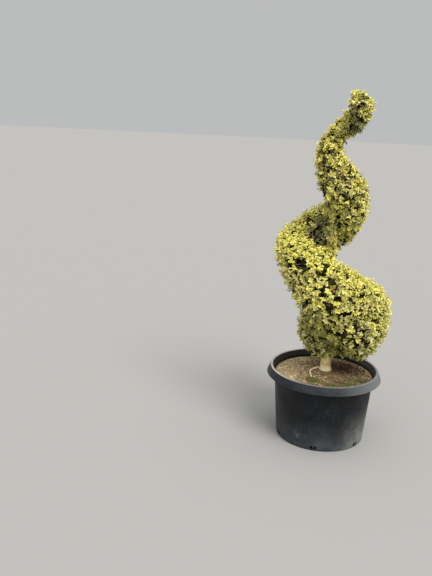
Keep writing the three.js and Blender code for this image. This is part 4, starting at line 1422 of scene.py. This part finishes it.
def build_soil():
    """A turned body with relief on its top, which is almost smooth beside the trunk and the root."""
    radii = SOIL_EDGE_RADIUS * np.linspace(1, 0, SOIL_RINGS + 1)[:-1] ** 0.8
    profile = [(SOIL_EDGE_RADIUS, SOIL_SKIRT_Z), *zip(radii, soil_height(radii, 0))]
    points, faces = lathe(np.array(profile), SOIL_SPOKES)
    rings = points[:-2]
    x, y = rings[:, 0], rings[:, 1]
    relief = np.zeros(len(rings))
    for seed, (size, depth) in enumerate(SOIL_RELIEF, 1):
        relief += depth * noise_at(rings * FLAT, size, seed)
    relief *= faded(SOIL_EDGE_RADIUS - np.hypot(x, y), 0, SOIL_EDGE_FADE)
    relief *= faded(from_trunk(x, y), *SOIL_TRUNK_FADE)
    relief *= faded(from_root(x, y), *SOIL_ROOT_FADE)
    rings[:, 2] += relief
    add_piece("potting_mix", points, faces, soil_finish(), ["soil"])


BLOCK_CORNERS = np.array([(x, y, z) for x in (-1, 1) for y in (-1, 1) for z in (-1, 1)]) / 2
BLOCK_FACES = [
    (0, 1, 3, 2), (4, 6, 7, 5), (0, 4, 5, 1), (2, 3, 7, 6), (0, 2, 6, 4), (1, 5, 7, 3),
]


def build_chips():
    """Bark chips and straws on the potting mix: paler at the left, darker toward the front by painted
    shadow, and dark where moist and in painted shade.
    """
    random = seeded("chips")
    from_pot, off_trunk, off_root = CHIP_CLEARANCES
    radius = (SOIL_EDGE_RADIUS - from_pot) * np.sqrt(random.uniform(size=CHIP_COUNT))
    angle = random.uniform(0, 2 * np.pi, CHIP_COUNT)
    x, y = radius * np.cos(angle), radius * np.sin(angle)
    apart = (from_trunk(x, y) > TRUNK_FOOT_RADIUS + off_trunk) & (from_root(x, y) > off_root)
    x, y = x[apart], y[apart]
    count = len(x)
    length = CHIP_LEAST_LENGTH + CHIP_MORE_LENGTH * random.uniform(size=count) ** CHIP_LENGTH_POWER
    width = length * random.uniform(*CHIP_WIDTH_SHARES, count)
    size = np.stack([length, width, random.uniform(*CHIP_THICKNESSES, count)], -1)
    turn = random.uniform(0, np.pi, count)
    tilt = random.normal(0, CHIP_TILT, count)
    corners = BLOCK_CORNERS[None] * size[:, None] * random.uniform(0.7, 1.0, (count, 8, 1))
    along = np.stack([np.cos(turn) * np.cos(tilt), np.sin(turn) * np.cos(tilt), np.sin(tilt)], -1)
    across = unit(np.cross(UP, along))
    basis = np.stack([along, across, np.cross(along, across)], 1)
    z = soil_height(x, y) + CHIP_LIFT + length * np.abs(np.sin(tilt)) / 3
    points = np.stack([x, y, z], -1)[:, None] + corners @ basis
    # Darker in the moist patch, partly damp and partly painted shade, and darker toward the front by
    # painted shadow.
    damp_and_shade = np.exp(-(np.hypot(x - DAMP_SHADE_MIDDLE[0], y - DAMP_SHADE_MIDDLE[1]) / DAMP_SHADE_RADIUS) ** 2)
    pale = CHIP_PALENESS - CHIP_PALER_LEFT * x + CHIP_FRONT_SHADOW * y - CHIP_DAMP_SHADE_DARKENING * damp_and_shade
    pale += CHIP_PALENESS_JITTER * random.normal(size=count)
    tint = np.select([pale > least for least, _ in CHIP_TINTS.values()], list(CHIP_TINTS), "dark")
    for name, (_, color) in CHIP_TINTS.items():
        chosen = points[tint == name]
        finish = mottled_finish(f"chip_{name}", color, 0.0025)
        faces = [copies(BLOCK_FACES, chosen)]
        add_piece(f"bark_chips_{name}", chosen, faces, finish, ["soil"], False)


def build_moss():
    """Low tufts of moss, each a bunch of short curved blades."""
    random = seeded("moss")
    roots, heights = [], []
    for x, y, radius in MOSS_PATCHES:
        roots.append(np.array([x, y]) + random.normal(0, MOSS_SPREAD, (MOSS_BLADES, 2)) * radius)
        heights.append(random.uniform(*MOSS_HEIGHTS, MOSS_BLADES))
    roots, height = np.concatenate(roots), np.concatenate(heights)[:, None]
    inside = np.hypot(*roots.T) < SOIL_EDGE_RADIUS - MOSS_CLEARANCE
    roots, height = roots[inside], height[inside]
    base = np.column_stack([roots, soil_height(*roots.T) + MOSS_LIFT])
    lean = random.normal(0, MOSS_LEAN, base.shape) * FLAT
    way = unit(lean + UP)
    side = unit(np.cross(way, random.normal(size=base.shape))) * MOSS_HALF_WIDTH
    bend = base + way * height * 0.6
    tip = base + (way + lean * 0.3) * height
    points = np.stack([base - side, base + side, bend - side * 0.8, bend + side * 0.8, tip], 1)
    faces = [copies([(0, 1, 3), (0, 3, 2), (2, 3, 4)], points)]
    finish = mottled_finish("moss_green", (118, 126, 66), 0.004)
    add_piece("moss_tufts", points, faces, finish, ["soil"])


# Stage

def build_floor():
    corners = [(x * FLOOR_SIZE, y * FLOOR_SIZE, 0) for x, y in ((-1, -1), (1, -1), (1, 1), (-1, 1))]
    floor = mesh_object("studio_floor", corners, [[(0, 1, 2, 3)]], False)
    floor.data.materials.append(Finish("studio_floor", FLOOR_COLOR, 0.9, 0.2).material)


def build_lights():
    """An even sky, and broad lights from far off that shine from their place to the origin."""
    world = bpy.data.worlds.new("soft_sky")
    world.use_nodes = True
    background = world.node_tree.nodes["Background"]
    background.inputs["Color"].default_value = linear(SKY_COLOR)
    background.inputs["Strength"].default_value = SKY_STRENGTH
    bpy.context.scene.world = world
    for name, (place, softness, strength, color) in SUNS.items():
        light = bpy.data.lights.new(name, "SUN")
        light.angle = math.radians(softness)
        light.energy = strength
        light.color = color
        lamp = bpy.data.objects.new(name, light)
        lamp.rotation_euler = (-Vector(place)).to_track_quat("-Z", "Y").to_euler()
        bpy.context.scene.collection.objects.link(lamp)


def build_camera():
    """A camera that looks straight down is rolled, tilted up, turned and put in its place."""
    matrix = Matrix.Translation(CAMERA_PLACE)
    for angle, axis in ((CAMERA_YAW, "Z"), (90 - CAMERA_PITCH, "X"), (CAMERA_ROLL, "Z")):
        matrix = matrix @ Matrix.Rotation(math.radians(angle), 4, axis)
    data = bpy.data.cameras.new("camera")
    data.sensor_width = SENSOR_WIDTH
    data.lens = CAMERA_FOCAL_PIXELS / IMAGE_HEIGHT_PIXELS * SENSOR_WIDTH
    camera = bpy.data.objects.new("camera", data)
    camera.matrix_world = matrix
    bpy.context.scene.collection.objects.link(camera)
    bpy.context.scene.camera = camera


build_camera()
build_floor()
build_lights()
bpy.context.scene.view_settings.view_transform = "Standard"
build_trunk()
build_stub()
build_boughs()
build_root()
build_pot()
build_soil()
build_chips()
build_moss()
all_sprays = make_sprays()
build_twigs(all_sprays)
build_leaves(all_sprays)
build_old_leaves(all_sprays)
build_shade_leaves()
